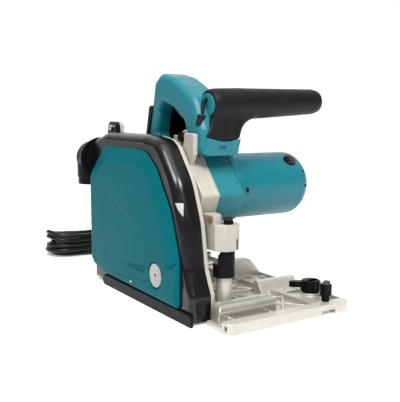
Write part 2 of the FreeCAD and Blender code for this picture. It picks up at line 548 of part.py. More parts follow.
def gear_cover():
    plate = housing_outline(HOUSING_X1, COVER_PLATE_X1)
    seat_s = rod_x(HOUSING_X1, COVER_PLATE_X1 + 6, SPINDLE_Y, SPINDLE_Z, BEARING_OUT + 4)
    seat_m = rod_x(HOUSING_X1, COVER_PLATE_X1 + 4, MOTOR_Y, MOTOR_Z, 14.5)
    lock = rod_x(HOUSING_X1, COVER_PLATE_X1 + 5, SHAFT_LOCK_Y, SHAFT_LOCK_Z, 6.5)
    cuts = [
        rod_x(0, 60, SPINDLE_Y, SPINDLE_Z, BEARING_IN + 0.6).common(block((0, 60), (0, 300), (0, 300))),
        rod_x(HOUSING_X1 - 1, COVER_PLATE_X1 + 4, SPINDLE_Y, SPINDLE_Z, BEARING_OUT),
        rod_x(0, 60, MOTOR_Y, MOTOR_Z, 6.0),
        rod_x(COVER_PLATE_X1 - 3, 60, MOTOR_Y, MOTOR_Z, 11.0),
        rod_x(0, 60, SHAFT_LOCK_Y, SHAFT_LOCK_Z, SHAFT_LOCK_R + RUNNING),
    ]
    cuts += [rod_x(0, 60, y, z, 2.0) for y, z in HOUSING_SCREWS]
    body = joined([plate, seat_s, seat_m, lock])
    cap = rod_x(COVER_PLATE_X1 + 4.5, COVER_PLATE_X1 + 6, SPINDLE_Y, SPINDLE_Z, BEARING_OUT)
    return joined([body.cut(cuts), cap]).removeSplitter()


def shaft_lock_button():
    tip = GEAR_X1 + 1.2
    return joined([rod_x(tip, COVER_PLATE_X1 + 12, SHAFT_LOCK_Y, SHAFT_LOCK_Z, SHAFT_LOCK_R),
                   rod_x(COVER_PLATE_X1 + 11, COVER_PLATE_X1 + 15, SHAFT_LOCK_Y, SHAFT_LOCK_Z, 6.0)])


def plunge_lock_pin():
    y, z = LOCK_PIN_Y, LOCK_PIN_Z
    return joined([rod_x(PLATE_X1 + 1.5, 22, y, z, LOCK_HEAD_R), rod_x(22, 33, y, z, LOCK_PIN_R)])


def motor_housing():
    block_part = prism_x(MOTOR_BLOCK_OUTLINE, COVER_PLATE_X1, MOTOR_BLOCK_X1)
    neck = prism_x([(108, 175, 3), (86, 148, 8), (84, 125, 10), (104, 98, 10), (154, 98, 10), (174, 125, 10),
                    (172, 160, 8), (158, 175, 6)], MOTOR_BLOCK_X1 - 1, MOTOR_BLOCK_X1 + 8)
    barrel = rod_x(MOTOR_BLOCK_X1 - 4, BARREL_X1, MOTOR_Y, MOTOR_Z, BARREL_R)
    inner_r = BARREL_R - BARREL_WALL
    cuts = [
        rod_x(COVER_PLATE_X1 + 6, BARREL_X1 + 1, MOTOR_Y, MOTOR_Z, inner_r),
        rod_x(COVER_PLATE_X1 - 1, COVER_PLATE_X1 + 7, MOTOR_Y, MOTOR_Z, 15.0),
        rod_x(0, COVER_PLATE_X1 + 8, SPINDLE_Y, SPINDLE_Z, BEARING_OUT + 4.5),
    ]
    for sign in (1, -1):
        cuts += [brush_rod(sign, 20, BRUSH_HOLDER_R, 40), brush_rod(sign, 37.9, 8.05, 10)]
    cuts += [rod_x(0, COVER_PLATE_X1 + 12, y, z, 2.0) for y, z in HOUSING_SCREWS[:3]]
    return joined([block_part, neck, barrel]).cut(cuts).removeSplitter()


def brush_direction(sign):
    angle = math.radians(BRUSH_TILT)
    return V(0, math.cos(angle) * sign, math.sin(angle) * sign)


def brush_rod(sign, start, radius, length):
    d = brush_direction(sign)
    return Part.makeCylinder(radius, length, V(BRUSH_X, MOTOR_Y, MOTOR_Z) + d * start, d)


def brush_holders():
    return Part.Compound([brush_rod(s, 20, BRUSH_HOLDER_R, 18).cut(brush_rod(s, 15, 4.6, 30)) for s in (1, -1)])


def brushes():
    return Part.Compound([brush_rod(s, COMMUTATOR_R + 0.3, 4.5, 18) for s in (1, -1)])


def brush_caps():
    caps = []
    for s in (1, -1):
        cap = joined([brush_rod(s, 38, 8.0, 3.2), brush_rod(s, 33, 4.5, 6)])
        d = brush_direction(s)
        slot = Part.makeBox(1.6, 10, 2.4, V(-0.8, -5, 0))
        slot.Placement = FreeCAD.Placement(V(BRUSH_X, MOTOR_Y, MOTOR_Z) + d * 39.8, FreeCAD.Rotation(Z_AXIS, d))
        caps.append(cap.cut(slot))
    return Part.Compound(caps)


def motor_end_cap():
    outer = [(BARREL_X1, 0), (BARREL_X1, BARREL_R), (178, 38.6), (182, 36.6), (186, 33.6), (190, 29.8), (194, 25.3),
             (198, 19.8), (MOTOR_END, 14.5), (MOTOR_END, 0)]
    inner = [(BARREL_X1 - 1, 0), (BARREL_X1 - 1, 36), (177, 35.4), (181, 33.0), (185, 29.8), (189, 25.8), (193, 20.8),
             (197, 14.5), (197, 0)]
    cap = turned_x(outer, MOTOR_Y, MOTOR_Z).cut(turned_x(inner, MOTOR_Y, MOTOR_Z))
    slots = []
    for k in range(12):
        slot = block((178, 189), (-1.6, 1.6), (27, 45))
        slot.rotate(V(0, 0, 0), X_AXIS, 30 * k + 62)
        slot.translate(V(0, MOTOR_Y, MOTOR_Z))
        slots.append(slot)
    seat = tube_x(179, 197.5, MOTOR_Y, MOTOR_Z, 14, 11)
    web = tube_x(179, 181, MOTOR_Y, MOTOR_Z, 35.5, 12).cut(
        [rod_x(170, 190, *polar(MOTOR_Y, MOTOR_Z, 24, 60 * k), 6) for k in range(6)])
    cap = joined([cap.cut(slots), seat, web])
    return cap.cut(rod_x(192, 230, DIAL_Y, DIAL_Z, 8.0)).removeSplitter()


def speed_dial():
    wheel = rod_x(198.2, 203, DIAL_Y, DIAL_Z, 7.6)
    notches = [rod_x(198, 204, *polar(DIAL_Y, DIAL_Z, 8.0, 30 * k), 1.0) for k in range(12)]
    return wheel.cut(notches)


# ---- motor and gears ---------------------------------------------------------------------------------


def armature_shaft():
    pinion = gear(PINION_TEETH, GEAR_X0 - 0.5, GEAR_X1 + 0.4, MOTOR_Y, MOTOR_Z, turn=PINION_TURN)
    return joined([pinion, rod_x(GEAR_X0 - 0.5, 187, MOTOR_Y, MOTOR_Z, SHAFT_R)])


def gear(teeth, x0, x1, y, z, turn=0.0):
    """A spur gear with straight-sided teeth; turn places a tooth's middle, in degrees from +Y towards +Z."""
    pitch_r = GEAR_MODULE * teeth / 2
    tip_r, root_r = pitch_r + 0.9 * GEAR_MODULE, pitch_r - 1.2 * GEAR_MODULE
    step = 360.0 / teeth
    points = []
    for k in range(teeth):
        middle = turn + k * step
        for radius, part in ((root_r, -0.34), (tip_r, -0.13), (tip_r, 0.13), (root_r, 0.34)):
            points.append(polar(y, z, radius, middle + part * step))
    return prism_x(points, x0, x1)


def big_gear():
    wheel = gear(GEAR_TEETH, GEAR_X0, GEAR_X1, SPINDLE_Y, SPINDLE_Z, turn=GEAR_TURN)
    cuts = [rod_x(0, 60, SPINDLE_Y, SPINDLE_Z, 7.5)]
    cuts += [rod_x(0, 60, *polar(SPINDLE_Y, SPINDLE_Z, 30, 60 * k - 90), SHAFT_LOCK_R + 0.5) for k in range(6)]
    return wheel.cut(cuts)


def armature_core():
    core = tube_x(86, 140, MOTOR_Y, MOTOR_Z, CORE_R, SHAFT_R)
    slots = []
    for k in range(12):
        y, z = polar(MOTOR_Y, MOTOR_Z, CORE_R, 30 * k)
        slots.append(rod_x(80, 150, y, z, 1.6))
    return joined([core.cut(slots), tube_x(78, 86, MOTOR_Y, MOTOR_Z, 17, SHAFT_R),
                   tube_x(140, 150, MOTOR_Y, MOTOR_Z, 17, SHAFT_R)])


def commutator():
    ring = tube_x(153, 176, MOTOR_Y, MOTOR_Z, COMMUTATOR_R, SHAFT_R)
    cuts = [block((156, 174), (MOTOR_Y - 0.3, MOTOR_Y + 0.3), (MOTOR_Z + COMMUTATOR_R - 0.8, MOTOR_Z + 20))]
    for k in range(1, 24):
        turned_cut = cuts[0].copy()
        turned_cut.rotate(V(0, MOTOR_Y, MOTOR_Z), X_AXIS, 15 * k)
        cuts.append(turned_cut)
    return ring.cut(cuts)


def cooling_fan():
    hub = tube_x(56, 68, MOTOR_Y, MOTOR_Z, 9, SHAFT_R)
    disc = tube_x(56, 58, MOTOR_Y, MOTOR_Z, 32, 8)
    blades = []
    for k in range(11):
        blade = block((57.5, 68), (-1, 1), (8.5, 31))
        blade.rotate(V(0, 0, 0), X_AXIS, 360.0 / 11 * k)
        blade.translate(V(0, MOTOR_Y, MOTOR_Z))
        blades.append(blade)
    return joined([hub, disc, *blades])


def field_core():
    ring = tube_x(88, 138, MOTOR_Y, MOTOR_Z, 35.9, 30)
    poles = []
    for angle in (40, 220):
        pole = block((88, 138), (-16, 16), (22, 32))
        pole.rotate(V(0, 0, 0), X_AXIS, angle)
        pole.translate(V(0, MOTOR_Y, MOTOR_Z))
        poles.append(pole)
    return joined([ring, *poles]).cut(rod_x(80, 150, MOTOR_Y, MOTOR_Z, CORE_R + 0.8))


def bearing(x0, x1, y, z, outer, inner):
    """A ball bearing with a groove between its rings."""
    third = (outer - inner) / 3
    groove = [tube_x(x, x + 0.6, y, z, outer - third, inner + third) for x in (x0, x1 - 0.6)]
    return tube_x(x0, x1, y, z, outer, inner).cut(groove)


def armature_bearings():
    return Part.Compound([bearing(36, 43, MOTOR_Y, MOTOR_Z, 11.0, SHAFT_R),
                          bearing(179, 186, MOTOR_Y, MOTOR_Z, 11.0, SHAFT_R)])


def spindle_bearings():
    return Part.Compound([bearing(x, x + 9, SPINDLE_Y, SPINDLE_Z, BEARING_OUT, BEARING_IN) for x in (9.0, 34.0)])


# ---- blade set -------------------------------------------------------------------------------------


def spindle():
    shaft = rod_x(2, 43, SPINDLE_Y, SPINDLE_Z, BEARING_IN)
    return shaft.cut(rod_x(0, 22, SPINDLE_Y, SPINDLE_Z, 4.0))


def blade_flanges():
    """The inner flange carries the blade on its spigot; the outer one is pressed on by the bolt."""
    inner = joined([rod_x(BLADE_X0 + BLADE_KERF, 6.5, SPINDLE_Y, SPINDLE_Z, FLANGE_R),
                    rod_x(0.6, 4, SPINDLE_Y, SPINDLE_Z, BLADE_BORE_R - 0.05)])
    inner = inner.cut([rod_x(2, 7, SPINDLE_Y, SPINDLE_Z, BEARING_IN), rod_x(0, 7, SPINDLE_Y, SPINDLE_Z, 4.0)])
    outer = rod_x(-4.4, BLADE_X0, SPINDLE_Y, SPINDLE_Z, FLANGE_R)
    outer = outer.cut([rod_x(-2, 1, SPINDLE_Y, SPINDLE_Z, BLADE_BORE_R), rod_x(-6, 1, SPINDLE_Y, SPINDLE_Z, 4.0)])
    return Part.Compound([inner, outer])


def saw_blade():
    """A carbide-tipped disc: each tooth has a square tip and a rounded gullet."""
    step = 360.0 / BLADE_TEETH
    points = []
    for k in range(BLADE_TEETH):
        angle = k * step
        points.append(polar(SPINDLE_Y, SPINDLE_Z, BLADE_R, angle))
        points.append(polar(SPINDLE_Y, SPINDLE_Z, BLADE_R - 6, angle + 0.15 * step))
        points.append(polar(SPINDLE_Y, SPINDLE_Z, BLADE_R - 7, angle + 0.45 * step))
        points.append(polar(SPINDLE_Y, SPINDLE_Z, BLADE_R - 1.6, angle + 0.8 * step))
    disc = prism_x(points, BLADE_X0, BLADE_X0 + BLADE_KERF)
    cuts = [rod_x(-9, 9, SPINDLE_Y, SPINDLE_Z, BLADE_BORE_R)]
    for k in range(4):
        slot = block((-9, 9), (-0.6, 0.6), (BLADE_R - 22, BLADE_R - 4))
        slot = slot.fuse(rod_x(-9, 9, 0, BLADE_R - 22, 2.2))
        slot.rotate(V(0, 0, 0), X_AXIS, 90 * k + 40)
        slot.translate(V(0, SPINDLE_Y, SPINDLE_Z))
        cuts.append(slot)
    return disc.cut(cuts)


def blade_bolt():
    head = hexagon_x(-10.4, -4.4, SPINDLE_Y, SPINDLE_Z, 13)
    return joined([head, rod_x(-4.4, 20, SPINDLE_Y, SPINDLE_Z, 4.0)])


# ---- depth stop --------------------------------------------------------------------------------------
def depth_tower():
    """A hollow eight-sided tower on the head; at full depth it drops over the turret."""
    x, y = TOWER_X, TOWER_Y
    plan = [(x - 16, y - 6, 1), (x - 7, y - 16, 1), (x + 7, y - 16, 1), (x + 16, y - 7, 1), (x + 16, y + 12, 1),
            (x + 8, y + 20, 1), (x - 9, y + 20, 1), (x - 16, y + 12, 1)]
    tower = prism_z(plan, TOWER_Z0, TOWER_Z1)
    room = TURRET_R + 1.3
    hollow = [rod((x, y + shift, TOWER_Z0 - 1), Z_AXIS, room, top - TOWER_Z0 + 1)
              for shift, top in ((0, 90), (2, 95), (4, TOWER_Z1 - 4.5))]
    window = block((x + 5.5, x + 9), (y - 20, y), (TOWER_Z0 - 1, TOWER_Z0 + 13))
    arm = prism_x([(y + 16, TOWER_Z0 + 3), (104, 70), (112, 118), (y + 22, TOWER_Z1 + 10), (y + 8, TOWER_Z1 + 10),
                   (y + 8, TOWER_Z1 - 2)], x - 16, x)
    lug = block((x - 16, x - 4), (y - 4, y + 10), (TOWER_Z1 - 1, TOWER_Z1 + 10)).cut(
        rod_x(x - 20, x, y + 2, TOWER_Z1 + 5, 2.5))
    body = joined([tower, arm, lug]).cut([*hollow, window])
    screw_y = y - STOP_OFFSET
    body = body.cut([rod((x, screw_y, TOWER_Z1 - 10), Z_AXIS, 3 + RUNNING, 30),
                     rod((x, screw_y, TOWER_Z1), Z_AXIS, 8, 30)])
    return body.cut([housing_outline(0, 80), rod_x(0, 60, SPINDLE_Y, SPINDLE_Z, BOSS_R + 36)])


def depth_screw():
    x, y = TOWER_X, TOWER_Y - STOP_OFFSET
    shank = rod((x, y, DEPTH_TIP_Z), Z_AXIS, 3.0, 108.5 - DEPTH_TIP_Z)
    head = rod((x, y, 108.5), Z_AXIS, 5.0, 3)
    socket = rod((x, y, 110), Z_AXIS, 2.0, 3)
    return joined([shank, head]).cut(socket)


def lock_nut():
    x, y = TOWER_X, TOWER_Y - STOP_OFFSET
    nut = prism_z([(x + 6 * math.cos(math.radians(60 * k)), y + 6 * math.sin(math.radians(60 * k)))
                   for k in range(6)], TOWER_Z1, TOWER_Z1 + 4)
    return nut.cut(rod((x, y, 90), Z_AXIS, 3 + RUNNING, 30))


def depth_turret():
    """Three stop faces at different heights on one turning block; the highest faces the front at rest."""
    x, y = TOWER_X, TOWER_Y
    drum = rod((x, y, 45), Z_AXIS, TURRET_R, 5)
    steps = [rod((x, y, 49), Z_AXIS, TURRET_R, TURRET_STEPS[0] - 49)]
    for k, top in enumerate((TURRET_STEPS[2], TURRET_STEPS[1])):
        sector = Part.makeCylinder(TURRET_R, top - 49, V(x, y, 49), Z_AXIS, 120)
        sector.rotate(V(x, y, 0), Z_AXIS, 210 + 120 * k)
        steps.append(sector)
    body = joined([drum, *steps])
    return body.cut(rod((x, y, 30), Z_AXIS, 4 + RUNNING, 60))


def turret_pin():
    """The post that the turret turns on, with the sleeve that it rests on."""
    x, y = TOWER_X, TOWER_Y
    pin = rod((x, y, 3), Z_AXIS, 4.0, 51)
    sleeve = rod((x, y, BASE_HEIGHT + 2), Z_AXIS, 9.0, 44.8 - BASE_HEIGHT - 2)
    head = rod((x, y, 0.8), Z_AXIS, 7.0, 3)
    return joined([pin, sleeve, head])


# ---- handles -----------------------------------------------------------------------------------------


def handle_half(x0, x1):
    solid = prism_x(HANDLE_OUTLINE, x0, x1).cut(prism_x(FINGER_LOOP, x0 - 1, x1 + 1))
    outer = face_yz(HANDLE_OUTLINE, HANDLE_X0 + HANDLE_WALL).makeOffset2D(-HANDLE_WALL)
    hollow = outer.extrude(V(HANDLE_X1 - HANDLE_X0 - 2 * HANDLE_WALL, 0, 0))
    loop = face_yz(FINGER_LOOP, HANDLE_X0).makeOffset2D(HANDLE_WALL).extrude(V(60, 0, 0))
    hollow = hollow.cut(loop)
    trigger_room = prism_x([(125, 208), (128, 230), (158, 244), (174, 240), (170, 222), (140, 206)],
                           HANDLE_MID - 8.5, HANDLE_MID + 8.5)
    gland_hole = Part.makeCylinder(GLAND_R, 20, V(*GLAND_START), GLAND_DIRECTION)
    cuts = [hollow, trigger_room, gland_hole, cord_gland_body(), *front_envelope()]
    cuts.append(rod_x(HANDLE_X1 - HANDLE_WALL - 1, HANDLE_X1 + 1, BUTTON_Y, BUTTON_Z, 5.0 + RUNNING))
    for y, z in HANDLE_SCREWS:
        cuts.append(rod_x(0, 80, y, z, 2.0))
    posts = [rod_x(HANDLE_X0 + 1, HANDLE_X1 - 1, y, z, 4.5) for y, z in HANDLE_SCREWS]
    posts = [p.cut(rod_x(0, 80, y, z, 2.0)) for p, (y, z) in zip(posts, HANDLE_SCREWS)]
    posts = [p.common(block((x0, x1), (0, 400), (0, 400))) for p in posts]
    return joined([solid.cut(cuts), *posts]).removeSplitter()


def front_envelope():
    """The room in front of the handle for the front grip, its foot and the lock pin's boss."""
    return [block((0, 90), (70, 112.6), (170, 223)), rod_x(0, 90, GRIP_Y, 234, 19.3),
            block((0, 90), (70, GRIP_Y), (223, 252)),
            block((0, 34.5), (105, LOCK_PIN_Y + 27), (170, LOCK_PIN_Z + 10))]


def rear_grip():
    """Soft overmould that wraps the back of the handle's rear leg."""
    around = [(205, 236, 4), (213, 205, 8), (221, 180, 6), (218, 176, 1), (206, 200, 8), (197, 232, 4)]
    wrap = prism_x(around, HANDLE_X0 - 1.2, HANDLE_X1 + 1.2)
    return wrap.cut(prism_x(HANDLE_OUTLINE, HANDLE_X0, HANDLE_X1))


def trigger():
    body = prism_x(TRIGGER_OUTLINE, HANDLE_MID - 8, HANDLE_MID + 8)
    return body.cut(rod_x(0, 80, *TRIGGER_PIVOT, 1.5 + RUNNING))


def switch_body():
    body = prism_x([(140, 236), (168, 249), (172, 262), (146, 250)], HANDLE_MID - 8, HANDLE_MID + 8)
    return body


def lock_off_button():
    return joined([rod_x(HANDLE_X1 - 6, HANDLE_X1 + 2.5, BUTTON_Y, BUTTON_Z, 5.0),
                   rod_x(HANDLE_X1 - 7.5, HANDLE_X1 - 6, BUTTON_Y, BUTTON_Z, 6.5)])


def grip_bracket():
    """The teal foot of the front grip, bolted on the motor block."""
    front = [(28, 176, 2), (70, 176, 4), (73.4, 194.3), (50, 190.3, 40), (27, 196.3)]
    side = [(84, 176), (112.3, 176), (112.3, 202), (82, 202, 3)]
    body = prism_y(front, 80, 112.3).common(prism_x(side, 20, 90))
    return body.cut([block((45, 53), (70, 86), (183, 187)), rod_x(0, 35, LOCK_PIN_Y, LOCK_PIN_Z, 9.2),
                     rod((51, 97, 180), Z_AXIS, 2.5, 30)])


def grip_axis(x):
    part = (x - GRIP_X0) / (GRIP_X1 - GRIP_X0)
    return GRIP_Z0 + part * (GRIP_Z1 - GRIP_Z0)


def front_grip():
    """The black bar grip with the neck that joins it to the bracket."""
    direction = V(GRIP_X1 - GRIP_X0, 0, GRIP_Z1 - GRIP_Z0)
    length = direction.Length
    bar = turned([(1.2, 0), (1.2, 17.0), (8, 18.6), (40, 18.6), (70, 17.6), (length - 12, 15.4), (length - 4, 13.4),
                  (length, 7.5), (length, 0)], (GRIP_X0, GRIP_Y, GRIP_Z0), direction)
    neck = prism_y([(27, 196.5, 1), (50, 190.5, 40), (73.4, 194.5, 1), (78, 211, 22), (108, 223, 16), (104, 240), (41, 238), (36, 215, 8)],
                   GRIP_Y - 14, GRIP_Y + 14)
    recess = rod_x(GRIP_X0 - 2, GRIP_X0 + 5, GRIP_Y, GRIP_Z0, 13.6)
    return joined([bar, neck]).cut([recess, key_room()]).removeSplitter()


def grip_disc():
    disc = rod_x(GRIP_X0 - 0.5, GRIP_X0 + 5, GRIP_Y, GRIP_Z0, 13.5)
    return disc.cut(key_room())


def key_room():
    """The hole that the hex key's short leg is kept in."""
    return rod_x(KEY_X - 2, GRIP_X0 + 26, GRIP_Y, KEY_Z, KEY_R + RUNNING)


def hex_key():
    """Its long leg leans out to the left and ends in a knob."""
    top = V(KEY_X, GRIP_Y, KEY_Z)
    down = (V(*KEY_FOOT) - top).normalize()
    long = Part.makeCylinder(KEY_R, (V(*KEY_FOOT) - top).Length, top, down)
    knob = Part.makeCylinder(4.8, 13, top + down * 18, down)
    return joined([rod_x(KEY_X, GRIP_X0 + 24, GRIP_Y, KEY_Z, KEY_R), Part.makeSphere(KEY_R, top), long, knob])


def housing_screws():
    """Those of the gear cover, and those that hold the two handle halves together."""
    screws = [cap_screw((COVER_PLATE_X1, y, z), X_AXIS * -1, 2.0, 15) for y, z in HOUSING_SCREWS[3:]]
    screws += [cap_screw((HANDLE_X1, y, z), X_AXIS * -1, 2.0, 34) for y, z in HANDLE_SCREWS]
    return Part.Compound(screws)


# ---- rail cams and lever -----------------------------------------------------------------------------


def rail_cam(y):
    """A knob over the base with an eccentric cam below, which takes up the play in the groove."""
    top = CAM_SEAT_Z + 0.3
    knob = rod((CAM_X, y, top), Z_AXIS, CAM_KNOB_R, 14.5)
    shaft = rod((CAM_X, y, 1.0), Z_AXIS, CAM_SHAFT_R, top)
    cam = rod((CAM_X + CAM_THROW, y, 0.8), Z_AXIS, CAM_R, GROOVE_DEPTH - 1.3)
    pointer = prism_z([(CAM_X + 4, y - 4.5), (CAM_X + 4, y + 4.5), (CAM_X - CAM_POINTER + 8, y + 4.5, 1),
                       (CAM_X - CAM_POINTER, y, 1.5), (CAM_X - CAM_POINTER + 8, y - 4.5, 1)], top + 6, top + 13)
    pointer.rotate(V(CAM_X, y, 0), Z_AXIS, -32)
    slot = block((CAM_X - 7, CAM_X + 7), (y - 1, y + 1), (top + 13, top + 16))
    return joined([knob, shaft, cam, pointer]).cut(slot)


def rail_lever():
    """An L-shaped lever that clamps the rail; its shaft ends flush in the groove's roof when it is parked."""
    x, y = LEVER_X, LEVER_Y
    shaft = rod((x, y, GROOVE_DEPTH), Z_AXIS, LEVER_SHAFT_R, 16)
    collar = rod((x, y, BASE_HEIGHT + 0.3), Z_AXIS, 4.6, 7)
    post = prism_z([(x - 5, y - 5, 2), (x + 6, y - 5, 2), (x + 6, y + 5, 2), (x - 5, y + 5, 2)],
                   BASE_HEIGHT + 7, BASE_HEIGHT + 20)
    arm = prism_z([(x - 4, y - 4, 2), (x + 16, y + 8, 3), (x + 12, y + 15, 3), (x - 4, y + 4, 2)],
                  BASE_HEIGHT + 13, BASE_HEIGHT + 20)
    return joined([shaft, collar, post, arm])


# ---- cord --------------------------------------------------------------------------------------------
def gland_length():
    return (V(*CORD_ROUTE[0]) - V(*GLAND_START)).Length


def cord_gland_body():
    """The gland's outer shape: a ring that the handle grips, a flange and a long taper."""
    length = gland_length()
    outer = [(-4, 0), (-4, GLAND_R), (3.5, GLAND_R), (3.5, GLAND_R + 2), (6, GLAND_R + 2), (6, CORD_R + 2.4),
             (length, CORD_R + 1.0), (length, 0)]
    return turned(outer, GLAND_START, V(*CORD_ROUTE[0]) - V(*GLAND_START))


def cord_gland():
    """Tapered strain relief that grips the lead where it leaves the handle."""
    direction = (V(*CORD_ROUTE[0]) - V(*GLAND_START)).normalize()
    return cord_gland_body().cut(Part.makeCylinder(CORD_R, 80, V(*GLAND_START) - direction * 20, direction))


def tangent_path(points):
    """Straight runs joined by arcs, each as large as its two runs allow; returns the wire and the radii."""
    nodes = [V(*p) for p in points]
    edges, radii, last = [], [], nodes[0]
    for before, here, after in zip(nodes, nodes[1:], nodes[2:]):
        back, ahead = before - here, after - here
        reach = 0.45 * min(back.Length, ahead.Length)
        back.normalize()
        ahead.normalize()
        half = (math.pi - back.getAngle(ahead)) / 2
        radius = reach / math.tan(half)
        start, stop = here + back * reach, here + ahead * reach
        crown = here + (back + ahead).normalize() * (radius / math.cos(half) - radius)
        edges.append(Part.LineSegment(last, start).toShape())
        edges.append(Part.Arc(start, crown, stop).toShape())
        radii.append(radius)
        last = stop
    edges.append(Part.LineSegment(last, nodes[-1]).toShape())
    return Part.Wire(edges), radii


def cord_lead():
    path, radii = tangent_path(CORD_ROUTE)
    start, toward = V(*CORD_ROUTE[0]), V(*CORD_ROUTE[1]) - V(*CORD_ROUTE[0])
    section = Part.Wire(Part.makeCircle(CORD_R, start, toward))
    tube = path.makePipeShell([section], True, False)
    print("cord radii", [round(r, 1) for r in radii], "length", round(path.Length, 1),
          "volume ratio", round(tube.Volume / (math.pi * CORD_R ** 2 * path.Length), 4))
    return tube


def cord_hank():
    """The outer shape of the wound lead: a long loop lying on the floor behind the saw."""
    plan = [(HANK_X0, HANK_Y0 + 4, 30), (HANK_X1, HANK_Y0 + 4, 30), (HANK_X1, HANK_Y1, 30), (HANK_X0, HANK_Y1, 30)]
    return prism_z(plan, 0, HANK_Z1)


def plug():
    """A moulded mains plug with two round pins."""
    x, y, z = PLUG_AT
    body = prism_z([(x - 17, y - 11, 6), (x + 17, y - 9, 5), (x + 17, y + 9, 5), (x - 17, y + 11, 6)], z - 9, z + 9)
    pins = [rod((x + 16, y + side * 6.5, z), X_AXIS, 2.4, 20) for side in (-1, 1)]
    relief = rod((x - 36, y, z), X_AXIS, 5, 20)
    return joined([body, relief, *pins])


def build():
    for name, make in (
        ("base_plate", base_plate), ("front_crossbar", front_crossbar), ("base_screws", base_screws), ("case_plate", case_plate),
        ("case_shell", case_shell), ("case_skid", case_skid),
        ("side_cover", side_cover), ("hinge_pin", hinge_pin), ("cover_lock_screw", cover_lock_screw),
        ("nozzle_collar", nozzle_collar), ("dust_nozzle", dust_nozzle), ("case_screws", case_screws),
        ("pivot_bracket", pivot_bracket), ("pivot_pin", pivot_pin),
        ("plunge_spring", plunge_spring), ("gear_housing", gear_housing), ("gear_cover", gear_cover),
        ("shaft_lock_button", shaft_lock_button), ("plunge_lock_pin", plunge_lock_pin),
        ("motor_housing", motor_housing), ("motor_end_cap", motor_end_cap), ("speed_dial", speed_dial),
        ("brush_holders", brush_holders), ("brushes", brushes), ("brush_caps", brush_caps),
        ("armature_shaft", armature_shaft), ("armature_core", armature_core), ("commutator", commutator),
        ("cooling_fan", cooling_fan), ("field_core", field_core), ("armature_bearings", armature_bearings),
        ("spindle_bearings", spindle_bearings), ("big_gear", big_gear), ("spindle", spindle),
        ("blade_flanges", blade_flanges), ("saw_blade", saw_blade),
        ("blade_bolt", blade_bolt), ("depth_tower", depth_tower), ("depth_screw", depth_screw),
        ("lock_nut", lock_nut), ("depth_turret", depth_turret), ("turret_pin", turret_pin),
        ("rear_grip", rear_grip), ("trigger", trigger),
        ("switch_body", switch_body), ("lock_off_button", lock_off_button),
        ("grip_bracket", grip_bracket), ("front_grip", front_grip), ("grip_disc", grip_disc),
        ("hex_key", hex_key), ("housing_screws", housing_screws), ("rail_lever", rail_lever),
        ("cord_gland", cord_gland), ("cord_lead", cord_lead), ("cord_hank", cord_hank), ("plug", plug),
    ):
        add(name, make())
    add("handle_left", handle_half(HANDLE_X0, HANDLE_MID))
    add("handle_right", handle_half(HANDLE_MID, HANDLE_X1))
    for name, y in zip(("rail_cam_front", "rail_cam_rear"), CAM_Y):
        add(name, rail_cam(y))


def export():
    os.makedirs("parts", exist_ok=True)
    for name, shape in NODES.items():
        moved = shape.copy()
        moved.translate(ORIGIN * -1)
        moved.exportStep(f"parts/{name}.step")
        box = moved.BoundBox
        print(f"{name:20s} solids {len(moved.Solids)} valid {moved.isValid()} volume {moved.Volume:9.0f}"
              f"  x {box.XMin:.1f}..{box.XMax:.1f}  y {box.YMin:.1f}..{box.YMax:.1f}  z {box.ZMin:.1f}..{box.ZMax:.1f}")


build()
export()
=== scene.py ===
import json
import math

import bmesh
import bpy
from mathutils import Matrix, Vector, geometry


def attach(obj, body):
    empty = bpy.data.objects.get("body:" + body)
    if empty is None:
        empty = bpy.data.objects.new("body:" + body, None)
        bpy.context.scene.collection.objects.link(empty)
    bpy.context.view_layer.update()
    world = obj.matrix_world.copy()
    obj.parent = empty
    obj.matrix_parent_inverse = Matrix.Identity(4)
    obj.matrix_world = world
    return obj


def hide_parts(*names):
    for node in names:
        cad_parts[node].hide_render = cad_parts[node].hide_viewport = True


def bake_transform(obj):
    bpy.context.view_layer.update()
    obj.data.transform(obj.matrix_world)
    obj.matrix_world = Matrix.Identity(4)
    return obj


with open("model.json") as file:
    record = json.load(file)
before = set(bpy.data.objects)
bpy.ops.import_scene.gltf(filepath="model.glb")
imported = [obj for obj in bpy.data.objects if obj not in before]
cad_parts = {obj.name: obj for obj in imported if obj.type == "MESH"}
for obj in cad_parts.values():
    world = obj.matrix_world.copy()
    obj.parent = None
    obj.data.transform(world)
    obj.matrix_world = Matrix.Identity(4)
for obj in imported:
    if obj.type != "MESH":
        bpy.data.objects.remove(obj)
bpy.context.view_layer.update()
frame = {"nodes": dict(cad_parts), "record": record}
SCENE = bpy.context.scene
MM = 0.001


# ---- coordinates --------------------------------------------------------------------------------
ORIGIN_X, ORIGIN_Y = 84.5, 170.0      # the row frame's origin, in mm from the base plate's front left bottom corner


def c0(x, y, z):
    """A point given in mm from the base plate's front left bottom corner, in the row frame in metres."""
    return Vector(((x - ORIGIN_X) * MM, (y - ORIGIN_Y) * MM, z * MM))


def back_to_mm(co):
    """A point of the row frame, in mm from the base plate's front left bottom corner."""
    return Vector((co.x / MM + ORIGIN_X, co.y / MM + ORIGIN_Y, co.z / MM))


def on_plane(*pairs):
    return [Vector(p) for p in pairs]


def polar(y, z, radius, degrees):
    return y + radius * math.cos(math.radians(degrees)), z + radius * math.sin(math.radians(degrees))


